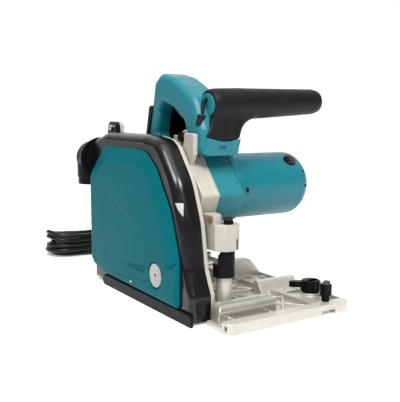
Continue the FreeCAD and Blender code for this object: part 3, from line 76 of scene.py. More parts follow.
# ---- camera -------------------------------------------------------------------------------------
SENSOR_MM, FOCAL_SHARE = 36.0, 622.0 / 402.0      # the lens is FOCAL_SHARE sensor widths long
camera = bpy.data.objects.new("camera", bpy.data.cameras.new("camera"))
SCENE.collection.objects.link(camera)
camera.location = c0(-346.4, -490.8, 208.7)
yaw, pitch = math.radians(32.45), math.radians(6.85)
look = Vector((math.sin(yaw) * math.cos(pitch), math.cos(yaw) * math.cos(pitch), -math.sin(pitch)))
camera.rotation_mode = "QUATERNION"
camera.rotation_quaternion = look.to_track_quat("-Z", "Y")
camera.data.sensor_width = SENSOR_MM
camera.data.lens = FOCAL_SHARE * SENSOR_MM
camera.data.clip_start, camera.data.clip_end = 0.01, 50.0
SCENE.camera = camera


# ---- materials ----------------------------------------------------------------------------------
def material(name, colour, rough, metal=0.0, grain=None, mottle=0.0, spread=0.0, wear=None, brushed=None,
             second=None, spec=0.5, tint=None):
    """A procedural finish: grain is (size in mm, depth in mm, strength), mottle varies the colour, spread the
    roughness, wear is (colour, amount) on edges, brushed is (axis, size in mm), second is (colour, size in mm,
    amount) of specks, spec and tint are the reflection's strength and colour."""
    mat = bpy.data.materials.new(name)
    mat.use_nodes = True
    tree = mat.node_tree
    nodes, links = tree.nodes, tree.links
    shader = nodes["Principled BSDF"]
    shader.inputs["Metallic"].default_value = metal
    shader.inputs["Roughness"].default_value = rough
    shader.inputs["Specular IOR Level"].default_value = spec
    if tint:
        shader.inputs["Specular Tint"].default_value = (*tint, 1)
        shader.inputs["IOR"].default_value = 1.18
    shader.inputs["Base Color"].default_value = (*colour, 1)
    where = nodes.new("ShaderNodeTexCoord").outputs["Object"]

    def noise(size_mm, detail=3.0, vector=where):
        n = nodes.new("ShaderNodeTexNoise")
        n.inputs["Scale"].default_value = 1000.0 / size_mm
        n.inputs["Detail"].default_value = detail
        n.inputs["Roughness"].default_value = 0.6
        links.new(vector, n.inputs["Vector"])
        return n.outputs["Fac"]

    def ramp(value, low, high, a=0.35, b=0.65):
        r = nodes.new("ShaderNodeMapRange")
        r.inputs["From Min"].default_value, r.inputs["From Max"].default_value = a, b
        r.inputs["To Min"].default_value, r.inputs["To Max"].default_value = low, high
        links.new(value, r.inputs["Value"])
        return r.outputs["Result"]

    def mixed(fac, a, b):
        m = nodes.new("ShaderNodeMix")
        m.data_type = "RGBA"
        for socket, value in ((m.inputs["Factor"], fac), (m.inputs["A"], a), (m.inputs["B"], b)):
            if isinstance(value, (tuple, float)):
                socket.default_value = (*value, 1) if isinstance(value, tuple) else value
            else:
                links.new(value, socket)
        return m.outputs["Result"]

    base = None
    if mottle:
        dark, light = tuple(c * (1 - mottle) for c in colour), tuple(min(1, c * (1 + mottle)) for c in colour)
        base = mixed(ramp(noise(9.0, 4.0), 0.0, 1.0), dark, light)
    if second:
        other, size, amount = second
        speck = ramp(noise(size, 2.0), 0.0, amount, 0.52, 0.6)
        base = mixed(speck, base if base is not None else colour, other)
    if wear:
        edge = nodes.new("ShaderNodeNewGeometry").outputs["Pointiness"]
        fac = ramp(edge, 0.0, wear[1], 0.51, 0.56)
        times = nodes.new("ShaderNodeMath")
        times.operation = "MULTIPLY"
        links.new(fac, times.inputs[0])
        links.new(ramp(noise(4.0), 0.2, 1.0), times.inputs[1])
        base = mixed(times.outputs[0], base if base is not None else colour, wear[0])
    if base is not None:
        links.new(base, shader.inputs["Base Color"])
    if spread:
        varied = ramp(noise(14.0, 5.0), max(0.05, rough - spread), min(1, rough + spread))
        links.new(varied, shader.inputs["Roughness"])
    height = None
    if grain:
        height = noise(grain[0], 4.0)
    if brushed:
        stretch = nodes.new("ShaderNodeMapping")
        scale = [1.0, 1.0, 1.0]
        scale["XYZ".index(brushed[0])] = 0.04
        stretch.inputs["Scale"].default_value = scale
        links.new(where, stretch.inputs["Vector"])
        height = noise(brushed[1], 2.0, stretch.outputs["Vector"])
        grain = (brushed[1], 0.05, 0.35)
    if height is not None:
        bump = nodes.new("ShaderNodeBump")
        bump.inputs["Distance"].default_value = grain[1] * MM
        bump.inputs["Strength"].default_value = grain[2]
        links.new(height, bump.inputs["Height"])
        links.new(bump.outputs["Normal"], shader.inputs["Normal"])
    return mat


M = {
    "teal": material("teal_moulded", (0.003, 0.132, 0.164), 0.38, grain=(0.9, 0.05, 0.3), mottle=0.04,
                     spread=0.05, spec=0.35, wear=((0.08, 0.34, 0.38), 0.15)),
    "teal_cover": material("teal_cover_paint", (0.001, 0.098, 0.118), 0.36, grain=(0.7, 0.03, 0.2), mottle=0.02,
                           spread=0.04, spec=0.17, tint=(0.12, 0.62, 0.70)),
    "hood": material("case_black", (0.004, 0.004, 0.005), 0.22, grain=(0.8, 0.03, 0.25), mottle=0.2,
                     spread=0.05, spec=0.35),
    "black": material("black_moulded", (0.004, 0.004, 0.005), 0.34, grain=(0.6, 0.03, 0.3), mottle=0.2, spread=0.06,
                      spec=0.5, tint=(0.8, 0.8, 0.8)),
    "soft": material("soft_grip_black", (0.006, 0.006, 0.007), 0.48, grain=(0.7, 0.08, 0.5), mottle=0.2,
                     spread=0.05, spec=0.16),
    "cream": material("alloy_paint", (0.36, 0.34, 0.29), 0.42, metal=0.1, grain=(0.8, 0.07, 0.45), mottle=0.03,
                      spread=0.07, wear=((0.62, 0.60, 0.53), 0.25), spec=0.35),
    "cast": material("alloy_cast", (0.47, 0.455, 0.41), 0.38, metal=0.45, grain=(1.1, 0.10, 0.5), mottle=0.03,
                     spread=0.1, wear=((0.72, 0.70, 0.64), 0.25)),
    "bar": material("alloy_extruded", (0.50, 0.485, 0.43), 0.34, metal=0.8, brushed=("X", 0.9), mottle=0.05,
                    spread=0.05),
    "steel": material("steel_turned", (0.52, 0.52, 0.53), 0.32, metal=1.0, brushed=("X", 0.6), mottle=0.06,
                      spread=0.08),
    "zinc": material("steel_zinc", (0.60, 0.58, 0.54), 0.35, metal=0.9, grain=(0.5, 0.04, 0.3), mottle=0.1,
                     spread=0.1),
    "blade": material("steel_blade", (0.55, 0.55, 0.56), 0.26, metal=1.0, brushed=("Y", 0.5), mottle=0.05,
                      spread=0.05),
    "core": material("core_laminations", (0.16, 0.16, 0.17), 0.5, metal=0.8, brushed=("Y", 1.0), mottle=0.15,
                     second=((0.35, 0.14, 0.05), 7.0, 0.5)),
    "copper": material("copper_bars", (0.62, 0.30, 0.16), 0.35, metal=1.0, brushed=("X", 0.5), mottle=0.1,
                       spread=0.1),
    "bronze": material("bronze_bolt", (0.30, 0.17, 0.10), 0.4, metal=0.8, grain=(0.5, 0.05, 0.3), mottle=0.2,
                       spread=0.1),
    "carbon": material("carbon_block", (0.02, 0.02, 0.02), 0.7, grain=(0.5, 0.06, 0.5), mottle=0.3),
    "brown": material("brush_cap_brown", (0.040, 0.010, 0.008), 0.42, grain=(0.6, 0.05, 0.3), mottle=0.2,
                      spec=0.35),
    "key": material("black_oxide", (0.006, 0.006, 0.007), 0.33, metal=0.2, grain=(0.5, 0.03, 0.3), mottle=0.2,
                    spread=0.08, spec=0.4),
    "cord": material("cord_sheath", (0.004, 0.004, 0.005), 0.3, grain=(0.8, 0.04, 0.3), mottle=0.2,
                     spread=0.08, spec=0.3),
    "disc": material("lock_disc", (0.33, 0.325, 0.30), 0.38, metal=0.4, brushed=("Y", 0.7), mottle=0.05,
                     spread=0.06),
    # painted shade, for the plates that stand for the shade inside the motor's notch and the hood's sight slot
    "dark": material("shadow_gap", (0.003, 0.003, 0.003), 0.7, grain=(0.8, 0.05, 0.3), mottle=0.2, spec=0.2),
    # painted light, for the pale patch that stands for the light seen in the upper part of the hood's sight slot
    "glint": material("painted_slot_light", (0.42, 0.43, 0.43), 0.3, metal=0.2, grain=(2.0, 0.1, 0.3), mottle=0.1),
    "white": material("ivory_mark", (0.80, 0.80, 0.77), 0.5, grain=(0.6, 0.04, 0.3), mottle=0.03),
}


# ---- mesh helpers -------------------------------------------------------------------------------
def rounded(corners, steps=5):
    """Corners are (u, v) or (u, v, radius); returns the outline's points."""
    points = []
    count = len(corners)
    for i, corner in enumerate(corners):
        radius = corner[2] if len(corner) > 2 else 0
        here = Vector(corner[:2])
        before, after = Vector(corners[i - 1][:2]), Vector(corners[(i + 1) % count][:2])
        if not radius:
            points.append(here)
            continue
        back, ahead = (before - here).normalized(), (after - here).normalized()
        half = back.angle(ahead) / 2
        centre = here + (back + ahead).normalized() * (radius / math.sin(half))
        start, stop = here + back * (radius / math.tan(half)), here + ahead * (radius / math.tan(half))
        a, b = (start - centre), (stop - centre)
        sweep = math.atan2(a.x * b.y - a.y * b.x, a.dot(b))
        parts = max(2, min(24, int(abs(sweep) * math.sqrt(radius) * steps / 2.5) + 1))
        for k in range(parts + 1):
            turn = sweep * k / parts
            points.append(centre + Vector((a.x * math.cos(turn) - a.y * math.sin(turn),
                                           a.x * math.sin(turn) + a.y * math.cos(turn))))
    clean = []
    for p in points:
        if not clean or (p - clean[-1]).length > 0.05:
            clean.append(p)
    if (clean[0] - clean[-1]).length < 0.05:
        clean.pop()
    return clean


def finished(obj, mats, smooth=38, bevel=0.0, segments=2, angle=34):
    """Gives a mesh object its materials, its shading and its rounded edges."""
    mesh = obj.data
    for mat in mats if isinstance(mats, (list, tuple)) else [mats]:
        mesh.materials.append(M[mat])
    mesh.shade_smooth()
    mesh.set_sharp_from_angle(angle=math.radians(smooth))
    if bevel:
        mod = obj.modifiers.new("edges", "BEVEL")
        mod.width, mod.segments, mod.limit_method = bevel * MM, segments, "ANGLE"
        mod.angle_limit = math.radians(angle)
        mod.use_clamp_overlap = False
        mod.harden_normals = True
        mod.miter_outer = "MITER_ARC"
    weighted = obj.modifiers.new("shading", "WEIGHTED_NORMAL")
    weighted.keep_sharp = True
    return obj


def linked(name, data):
    obj = bpy.data.objects.new(name, data)
    SCENE.collection.objects.link(obj)
    return obj


def shaped(obj):
    """A new mesh of the object as its modifiers or its curve make it."""
    bpy.context.view_layer.update()
    return bpy.data.meshes.new_from_object(obj.evaluated_get(bpy.context.evaluated_depsgraph_get()))


def from_lists(name, verts, faces):
    mesh = bpy.data.meshes.new(name)
    mesh.from_pydata(verts, [], faces)
    mesh.validate()
    bm = bmesh.new()
    bm.from_mesh(mesh)
    bmesh.ops.remove_doubles(bm, verts=bm.verts, dist=1e-6)
    bmesh.ops.recalc_face_normals(bm, faces=bm.faces)
    bm.to_mesh(mesh)
    bm.free()
    return linked(name, mesh)


def clean_copy(name, node, tilt=1.0):
    """A CAD node's mesh with its faces joined up, ready for bevels."""
    bm = bmesh.new()
    bm.from_mesh(frame["nodes"][node].data)
    bmesh.ops.remove_doubles(bm, verts=bm.verts, dist=2e-6)
    bmesh.ops.dissolve_limit(bm, angle_limit=math.radians(tilt), verts=bm.verts, edges=bm.edges)
    mesh = bpy.data.meshes.new(name)
    bm.to_mesh(mesh)
    bm.free()
    return linked(name, mesh)


RECORD = frame["record"]
BODY = {n: b for b, ns in RECORD["behaviour"]["bodies"].items() for n in ns}


def placed(obj, node, body):
    """Puts a piece in a CAD node's place, on the given body."""
    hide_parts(node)
    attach(obj, body)
    return obj


def dress(node, mat, bevel=0.5, segments=2):
    """The CAD node's own shape with rounded edges and a finish."""
    placed(finished(clean_copy(node + "_skin", node), mat, bevel=bevel, segments=segments), node, BODY[node])


def own(obj, body):
    """A detail piece that stands for no CAD node."""
    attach(obj, body)


def slab(name, loops, w0, w1, bevel, to_point, resolution=3):
    """A plate of the given outlines, the first outside and the others holes, between w0 and w1, with rounded rims.
    to_point turns (u, v, w) into a row point."""
    curve = bpy.data.curves.new(name, "CURVE")
    curve.dimensions = "2D"
    curve.fill_mode = "BOTH"
    for loop in loops:
        spline = curve.splines.new("POLY")
        spline.points.add(len(loop) - 1)
        for point, (u, v) in zip(spline.points, loop):
            point.co = (u, v, 0, 1)
        spline.use_cyclic_u = True
    curve.extrude = (w1 - w0) / 2 - bevel
    curve.bevel_depth = bevel
    curve.bevel_resolution = resolution
    curve.offset = -bevel
    temp = linked(name + "_temp", curve)
    mesh = shaped(temp)
    bpy.data.objects.remove(temp)
    bpy.data.curves.remove(curve)
    for v in mesh.vertices:
        v.co = to_point(v.co.x, v.co.y, v.co.z + (w0 + w1) / 2)
    bm = bmesh.new()
    bm.from_mesh(mesh)
    bmesh.ops.remove_doubles(bm, verts=bm.verts, dist=2e-6)
    bmesh.ops.dissolve_limit(bm, angle_limit=math.radians(0.3), verts=bm.verts, edges=bm.edges)
    bmesh.ops.recalc_face_normals(bm, faces=bm.faces)
    bm.to_mesh(mesh)
    bm.free()
    mesh.materials.clear()
    mesh.name = name
    return linked(name, mesh)


def yz(u, v, w):
    return c0(w, u, v)


def xy(u, v, w):
    return c0(u, v, w)


def lathe(name, profile, start, direction, parts=48):
    """profile is (distance along, radius), in mm."""
    turn = Vector((0, 0, 1)).rotation_difference(Vector(direction)).to_matrix()
    verts, faces = [], []
    for a, r in profile:
        for k in range(parts):
            t = 2 * math.pi * k / parts
            verts.append(c0(*start) + turn @ (Vector((r * math.cos(t), r * math.sin(t), a)) * MM))
    rows = len(profile)
    for i in range(rows - 1):
        for k in range(parts):
            n = (k + 1) % parts
            faces.append((i * parts + k, i * parts + n, (i + 1) * parts + n, (i + 1) * parts + k))
    faces.append(tuple(range(parts))[::-1])
    faces.append(tuple((rows - 1) * parts + k for k in range(parts)))
    return from_lists(name, verts, faces)


# ---- cord ---------------------------------------------------------------------------------------
CORD_ROUTE = [
    (44.0, 246.0, 122.0), (45.0, 268.0, 104.0), (50.0, 300.0, 90.0), (60.0, 334.0, 66.0),
    (70.0, 364.0, 34.0), (74.0, 394.0, 10.0),
]
LEAD_END = [(71.0, 424.0, 4.0), (64.0, 440.0, 4.0), (48.0, 449.5, 4.0), (30.0, 453.2, 4.0), (18.0, 456.2, 4.0)]
TAIL = [
    (9.0, 449.0, 11.3), (-2.0, 450.6, 11.1), (-11.5, 456.2, 10.8), (-18.4, 465.2, 10.4), (-21.2, 476.5, 10.0),
    (-20.0, 488.5, 9.6), (-15.0, 500.0, 9.3), (-7.0, 510.0, 9.2), (3.0, 518.0, 9.2), (13.5, 523.2, 9.2),
    (25.5, 524.5, 9.2),
]
HANK_MID = (45.0, 479.0)
HANK_HALF = 35.4                 # half of a turn's straight run
HANK_RADII = (22.2, 29.4)        # of the inner turns' ends and the outer turns' ends
HANK_PITCH = 7.3                 # a turn's rise or drop
HANK_FLOOR = 4.0                 # height of the first turn's middle line
HANK_TURNS, CLIMBING_TURNS = 7, 4
NEAR_END = 9.0                   # how far from a straight run's ends its points lie
CORD_LENGTH, CORD_DIAMETER = 2.5, 0.007
PLUG_HALF = 17.05                # half of the plug's moulded length; its pins stand past it
PLUG = (60.0, 524.5, 9.2)


def smooth01(t):
    t = max(0.0, min(1.0, t))
    return t * t * (3 - 2 * t)


def hank_points():
    """Four turns that climb, then three round them that come down again; no two touch."""
    points = []
    for turn in range(HANK_TURNS):
        climbing = turn < CLIMBING_TURNS
        r = HANK_RADII[0] if climbing else HANK_RADII[1]
        around = 2 * math.pi * r + 4 * HANK_HALF
        for end in (-1, 1):
            start = -90.0 if end < 0 else -270.0
            begin = 0.0 if end < 0 else math.pi * r + 2 * HANK_HALF
            steps = []
            for a in range(0, 181, 20):
                x, y = polar(end * HANK_HALF, 0.0, r, start - a)
                steps.append((x, y, begin + math.radians(a) * r, a))
            for along in (NEAR_END, 2 * HANK_HALF - NEAR_END):
                steps.append((end * (HANK_HALF - along), y, begin + math.pi * r + along, 180))
            for x, y, run, a in steps:
                done = run / around
                if climbing:
                    z = HANK_FLOOR + HANK_PITCH * (turn + done)
                else:
                    z = HANK_FLOOR + HANK_PITCH * (CLIMBING_TURNS - (turn - CLIMBING_TURNS) - smooth01(done / 0.6))
                if turn == CLIMBING_TURNS - 1 and end > 0 and a == 180 and run > around - 20:
                    y = -HANK_RADII[1]               # the run that carries the cord out to the outer turns
                if end < 0:                          # the upper turns stand open at the left end
                    z += 7.0 * smooth01((z - 18.0) / 6.0) * math.sin(math.radians(a)) ** 2
                points.append((HANK_MID[0] + x, HANK_MID[1] + y, z))
    return points


def centre_line(control, steps=6):
    """Points along the spline that the control points shape."""
    line = [control[0]]
    for i in range(1, len(control) - 1):
        a = control[0] if i == 1 else (control[i - 1] + control[i]) / 2
        c = control[-1] if i == len(control) - 2 else (control[i] + control[i + 1]) / 2
        for k in range(1, steps + 1):
            t = k / steps
            line.append((1 - t) ** 2 * a + 2 * t * (1 - t) * control[i] + t * t * c)
    return [tuple(p) for p in line]


def build_cord():
    """The lead, the hank's turns and the tail that ends in the plug, as one mesh; returns it and its middle line."""
    curve = bpy.data.curves.new("mains_lead", "CURVE")
    curve.dimensions = "3D"
    route = [c0(*p) for p in CORD_ROUTE + LEAD_END + hank_points() + TAIL]
    spline = curve.splines.new("NURBS")
    spline.points.add(len(route) - 1)
    for point, co in zip(spline.points, route):
        point.co = (*co, 1)
    spline.order_u = 3
    spline.use_endpoint_u = True
    curve.resolution_u = 6
    curve.bevel_depth = CORD_DIAMETER / 2
    curve.bevel_resolution = 4
    curve.use_fill_caps = True
    curve.materials.append(M["cord"])
    drawn = linked("mains_lead_line", curve)
    mesh = shaped(drawn)
    bpy.data.objects.remove(drawn, do_unlink=True)
    obj = linked("mains_lead", mesh)
    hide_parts("cord_lead", "cord_hank")
    # the hank stays on the floor when the head drops
    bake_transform(obj)
    return obj, centre_line(route)


def build_plug():
    obj = clean_copy("plug_skin", "plug")
    finished(obj, ["cord", "steel"], bevel=1.2, segments=3, angle=45)
    for face in obj.data.polygons:
        if face.center.x > c0(PLUG[0] + PLUG_HALF, 0, 0).x:
            face.material_index = 1
    return placed(obj, "plug", "base")


cord, cord_line = build_cord()
build_plug()


# ---- outlines, as (y, z, corner radius) -----------------------------------------------------------
COVER_OUTLINE = [
    (68, 14, 4), (68, 66, 50), (86, 117, 60), (119, 163, 30), (143, 180, 24), (160, 182.5, 30),
    (252, 184, 16), (284, 160, 10), (298, 144, 6), (299, 24, 8), (262, 16, 10),
]
HANDLE_OUTLINE = [
    (84, 176.5, 3), (86, 205, 10), (104, 240.5, 14), (131, 256, 60), (154, 267, 50), (180, 272.7, 12),
    (195, 263, 8), (204, 226, 30), (214, 190, 10), (238, 152, 8), (234, 138, 6), (214, 138, 6),
    (200, 168, 6), (184, 176.5, 4),
]
FINGER_LOOP = [
    (118, 192, 8), (126, 213, 8), (150, 229, 20), (176, 237, 8), (186, 226, 8), (193, 200, 8), (186, 191, 6),
]


# ---- side cover ---------------------------------------------------------------------------------
def inset_loop(points, by):
    """The closed outline moved inwards; its points keep their order."""
    area = sum(a.x * b.y - b.x * a.y for a, b in zip(points, points[1:] + points[:1]))
    sign = 1 if area > 0 else -1
    out = []
    for i, p in enumerate(points):
        a, b = (p - points[i - 1]).normalized(), (points[(i + 1) % len(points)] - p).normalized()
        na, nb = Vector((-a.y, a.x)) * sign, Vector((-b.y, b.x)) * sign
        n = (na + nb).normalized()
        out.append(p + n * (by / max(0.35, n.dot(na))))
    return out


def distance_to(points, p):
    best = 1e9
    for a, b in zip(points, points[1:] + points[:1]):
        near, part = geometry.intersect_point_line(p, a, b)
        near = Vector(near[:2])
        near = a if part < 0 else b if part > 1 else near
        best = min(best, (p - near).length)
    return best


def resampled(points, step):
    out = []
    for a, b in zip(points, points[1:] + points[:1]):
        n = max(1, int((b - a).length / step))
        out += [a.lerp(b, k / n) for k in range(n)]
    return out


LOCK = Vector((116.0, 41.5))
CREASE = on_plane((258, 135), (214, 113), (160, 86), (117, 64.5), (101, 57), (88, 55.5), (76, 59), (69, 67), (62, 70))
WEDGE = on_plane((221.0, 40.6), (141.0, 39.0), (141.0, 48.0))      # finger recess
SCORES = [on_plane((140.5, 82.5), (140.5, 50.5)), on_plane((219.0, 22.6), (175.0, 27.0), (132.5, 31.4))]
RIM_X = -16.4                    # the plane where the cover's rim ends
WIDEST_BORDER = 23.5             # past it the face is flat, and its points lie on a plain grid


def crease_side(p):
    """Signed distance from the crease (positive above it) and how far along it that is, from 0 to 1."""
    best, side, along, run = 1e9, 1, 0.0, 0.0
    total = sum((b - a).length for a, b in zip(CREASE, CREASE[1:]))
    for a, b in zip(CREASE, CREASE[1:]):
        d = b - a
        t = max(0.0, min(1.0, (p - a).dot(d) / d.length_squared))
        near = a + d * t
        gap = (p - near).length
        if gap < best:
            cross = d.x * (p - a).y - d.y * (p - a).x
            best, side, along = gap, (1 if cross < 0 else -1), (run + t * d.length) / total
        run += d.length
    return best * side, along


def segment_gap(line, p):
    best = 1e9
    for a, b in zip(line, line[1:]):
        d = b - a
        t = max(0.0, min(1.0, (p - a).dot(d) / d.length_squared))
        best = min(best, (p - a - d * t).length)
    return best


def inside_loop(loop, p):
    hit = False
    for a, b in zip(loop, loop[1:] + loop[:1]):
        if (a.y > p.y) != (b.y > p.y) and p.x < (b.x - a.x) * (p.y - a.y) / (b.y - a.y) + a.x:
            hit = not hit
    return hit


def cover_height(p, edge):
    """How far the cover's face stands out from its rim plane, in mm; edge is p's distance from the outline."""
    y, z = p
    # the border: a broad bevel above and in front, a rounded roll below, a tight roll at the hinge
    gap, along = crease_side(p)
    low = smooth01((36 - z) / 14)
    rear = smooth01((y - 282) / 10)
    front = smooth01((150 - y) / 40)
    # below the crease the front edge is plain
    under = 1.0 - smooth01((gap + 3.0) / 3.0) if y < 120 else 0.0
    broad = (17.0 + 4.5 * front) * (1 - under) + 2.0 * under
    width = broad * (1 - low) * (1 - rear) + 12.0 * low + 4.0 * rear * (1 - low)
    t = min(1.0, edge / width)
    roll = math.sqrt(max(0.0, 1 - (1 - t) ** 2))
    mix = max(low, rear)
    h = 1.9 + 3.1 * (t * (1 - mix) + roll * mix)
    # above the crease the face stands higher; the step grows towards the front and fades away from it
    depth = 1.9 * smooth01(along * 1.2 + 0.12)
    if gap > 0:
        h += depth * math.exp(-gap / 60.0) * min(1.0, edge / 5.0) * min(1.0, gap / 0.9)
    if inside_loop(WEDGE, p):
        h -= 1.9 * min(1.0, distance_to(WEDGE, p) / 0.7) * smooth01((224 - y) / 60)
    for line in SCORES:
        if segment_gap(line, p) < 0.2:
            h -= 0.45
    # the seat of the lock
    ring = (p - LOCK).length
    if ring < 15.6:
        h = 3.2 if ring > 14.3 else 2.0
    return h


def build_cover():
    outline = resampled(rounded(COVER_OUTLINE, 6), 3.0)
    offsets = (0.8, 2.0, 4.0, 7.0, 10.0, 12.0, 14.0, 16.0, 17.4, 19.0, 20.6, 22.2)
    points, edges, seen = [], [], set()
    lines = []

    def add(p, gap=0.45):
        key = (round(p.x / gap), round(p.y / gap))
        if key in seen:
            return
        seen.add(key)
        points.append(p)

    def chain(line, closed=False, step=2.2):
        ids = []
        for a, b in zip(line, line[1:] + (line[:1] if closed else [])):
            n = max(1, int((b - a).length / step))
            for k in range(n):
                points.append(a.lerp(b, k / n))
                ids.append(len(points) - 1)
        if not closed:
            points.append(line[-1].copy())
            ids.append(len(points) - 1)
        edges.extend(zip(ids, ids[1:] + (ids[:1] if closed else [])))
        lines.append(line + (line[:1] if closed else []))

    def beside(line, by):
        moved = []
        for i, p in enumerate(line):
            d = (line[min(i + 1, len(line) - 1)] - line[max(i - 1, 0)]).normalized()
            moved.append(p + Vector((d.y, -d.x)) * by)
        return moved

    chain(outline, closed=True, step=50)
    lines.clear()
    inside = [p for p in CREASE if p.x > 72]
    for shift in (0.0, -1.0):
        chain(beside(inside, shift))
    for radius in (14.0, 14.6, 15.4, 16.0):
        chain([LOCK + Vector((radius * math.cos(t), radius * math.sin(t)))
               for t in (2 * math.pi * k / 40 for k in range(40))], closed=True)
    chain(WEDGE, closed=True)
    chain(inset_loop(WEDGE, 0.75), closed=True)
    for line in SCORES:
        for by in (-0.6, 0.0, 0.6):
            chain(beside(line, by))
    for by in offsets:
        for p in inset_loop(outline, by):
            if distance_to(outline, p) > by - 0.25 and min(segment_gap(line, p) for line in lines) > 1.2:
                add(p)
    step = 3.0
    for i in range(int(60 / step), int(304 / step)):
        for j in range(3, int(190 / step)):
            p = Vector((i * step, j * step))
            well_inside = distance_to(outline, p) > WIDEST_BORDER and inside_loop(outline, p)
            if well_inside and min(segment_gap(line, p) for line in lines) > 1.3:
                add(p, 0.9)
    verts, _, faces, *_ = geometry.delaunay_2d_cdt(points, edges, [], 1, 1e-3)
    height = [cover_height(v, distance_to(outline, v)) for v in verts]
    mesh = bpy.data.meshes.new("side_cover_door")
    mesh.from_pydata([c0(RIM_X - h, v.x, v.y) for v, h in zip(verts, height)], [], [tuple(f) for f in faces])
    bm = bmesh.new()
    bm.from_mesh(mesh)
    bmesh.ops.recalc_face_normals(bm, faces=bm.faces)
    if sum(f.normal.x * f.calc_area() for f in bm.faces) > 0:
        bmesh.ops.reverse_faces(bm, faces=bm.faces)
    # the rim closes the face to the rim plane
    border = [e for e in bm.edges if e.is_boundary]
    ring = bmesh.ops.extrude_edge_only(bm, edges=border)
    for v in (g for g in ring["geom"] if isinstance(g, bmesh.types.BMVert)):
        v.co.x = c0(RIM_X, 0, 0).x
    bmesh.ops.contextual_create(bm, geom=[e for e in bm.edges if e.is_boundary])
    bmesh.ops.recalc_face_normals(bm, faces=bm.faces)
    bm.to_mesh(mesh)
    bm.free()
    obj = linked("side_cover_door", mesh)
    finished(obj, "teal_cover", smooth=24)
    placed(obj, "side_cover", "cover")
    mark = slab("cover_mark", [on_plane((179.4, 20.2), (175.6, 21.2), (176.2, 23.0), (178.6, 22.4))],
                -0.3, 0.0, 0.1, lambda u, v, w: c0(-21.25 + w, u, v), resolution=1)
    finished(mark, "white")
    own(mark, "cover")


build_cover()


def hinge_knuckles():
    """The cover's two knuckles."""
    for k, (z0, z1) in enumerate(((30.0, 52.0), (84.4, 116.0))):
        roll = lathe(f"cover_knuckle_{k}", [(0.0, 1.9), (0.5, 2.4), (z1 - z0 - 0.5, 2.4), (z1 - z0, 1.9)],
                     (-18.6, 297.4, z0), (0, 0, 1), 20)
        finished(roll, "teal_cover", smooth=40)
        own(roll, "cover")


hinge_knuckles()


# ---- rear handle --------------------------------------------------------------------------------
SEAM = 0.25                      # depth of the chamfer at the handle's seam


def half_of(whole, name, keep_low, x):
    """The part of a mesh on one side of the plane at x, closed there, with a fine chamfer at the seam."""
    bm = bmesh.new()
    bm.from_mesh(whole.data)
    cut = bmesh.ops.bisect_plane(bm, geom=bm.verts[:] + bm.edges[:] + bm.faces[:], plane_co=c0(x, 0, 0),
                                 plane_no=(1, 0, 0), clear_outer=keep_low, clear_inner=not keep_low)
    rim = [g for g in cut["geom_cut"] if isinstance(g, bmesh.types.BMEdge)]
    shift = -SEAM * MM if keep_low else SEAM * MM
    bmesh.ops.extrude_edge_only(bm, edges=rim)
    for e in rim:
        for v in e.verts:
            v.co.x = c0(x, 0, 0).x + shift
    bmesh.ops.holes_fill(bm, edges=[e for e in bm.edges if e.is_boundary])
    bmesh.ops.recalc_face_normals(bm, faces=bm.faces)
    mesh = bpy.data.meshes.new(name)
    bm.to_mesh(mesh)
    bm.free()
    return linked(name, mesh)


def build_handle():
    outer, loop = rounded(HANDLE_OUTLINE, 7), rounded(FINGER_LOOP, 7)
    whole = slab("handle_whole", [outer, loop], 22.0, 62.0, 8.0, yz, resolution=5)
    left = half_of(whole, "handle_left_shell", True, 42.0)
    right = half_of(whole, "handle_right_shell", False, 42.0)
    bpy.data.objects.remove(whole)
    for obj, node in ((left, "handle_left"), (right, "handle_right")):
        finished(obj, "teal", smooth=32)
        placed(obj, node, "head")


build_handle()


# ---- front grip: the bar flows into its neck -------------------------------------------------------
def melted(name, node, voxel, rounds, weight):
    """A remeshed copy of a CAD node whose joints flow together; weight says how much each point, in mm, smooths."""
    obj = clean_copy(name, node, tilt=0.5)
    remesh = obj.modifiers.new("remesh", "REMESH")
    remesh.mode, remesh.voxel_size = "VOXEL", voxel * MM
    mesh = shaped(obj)
    obj.modifiers.clear()
    obj.data = mesh
    bm = bmesh.new()
    bm.from_mesh(mesh)
    bm.verts.ensure_lookup_table()
    amount = [weight(back_to_mm(v.co)) for v in bm.verts]
    around = [[e.other_vert(v).index for e in v.link_edges] for v in bm.verts]
    here = [v.co.copy() for v in bm.verts]
    for _ in range(rounds):
        there = []
        for i, w in enumerate(amount):
            if w <= 0:
                there.append(here[i])
                continue
            middle = Vector((0, 0, 0))
            for j in around[i]:
                middle += here[j]
            there.append(here[i].lerp(middle / len(around[i]), w))
        here = there
    for v, co in zip(bm.verts, here):
        v.co = co
    bm.to_mesh(mesh)
    bm.free()
    return obj


def grip_weight(p):
    """Most at the corner between the bar and its neck."""
    joint = smooth01(1 - abs(p.z - (216 + 0.1 * (p.x - 60))) / 16) * smooth01((112 - p.x) / 10)
    return 0.15 + 0.75 * joint


grip = melted("front_grip_bar", "front_grip", 1.6, 14, grip_weight)
finished(grip, "soft", smooth=60)
placed(grip, "front_grip", "head")


# ---- plunge spring --------------------------------------------------------------------------------
def build_spring():
    curve = bpy.data.curves.new("plunge_spring_coil", "CURVE")
    curve.dimensions = "3D"
    turns, steps = 5.0, 100
    spline = curve.splines.new("POLY")
    spline.points.add(steps)
    for k in range(steps + 1):
        t = k / steps
        y, z = polar(290.0, 45.0, 8.3, 90 + 360 * turns * t)
        spline.points[k].co = (*c0(49.2 + 10.2 * t, y, z), 1)
    curve.bevel_depth, curve.bevel_resolution, curve.use_fill_caps = 1.0 * MM, 3, True
    temp = linked("spring_temp", curve)
    mesh = shaped(temp)
    bpy.data.objects.remove(temp)
    mesh.materials.clear()
    obj = linked("plunge_spring_coil", mesh)
    finished(obj, "steel", smooth=50)
    placed(obj, "plunge_spring", "base")


build_spring()


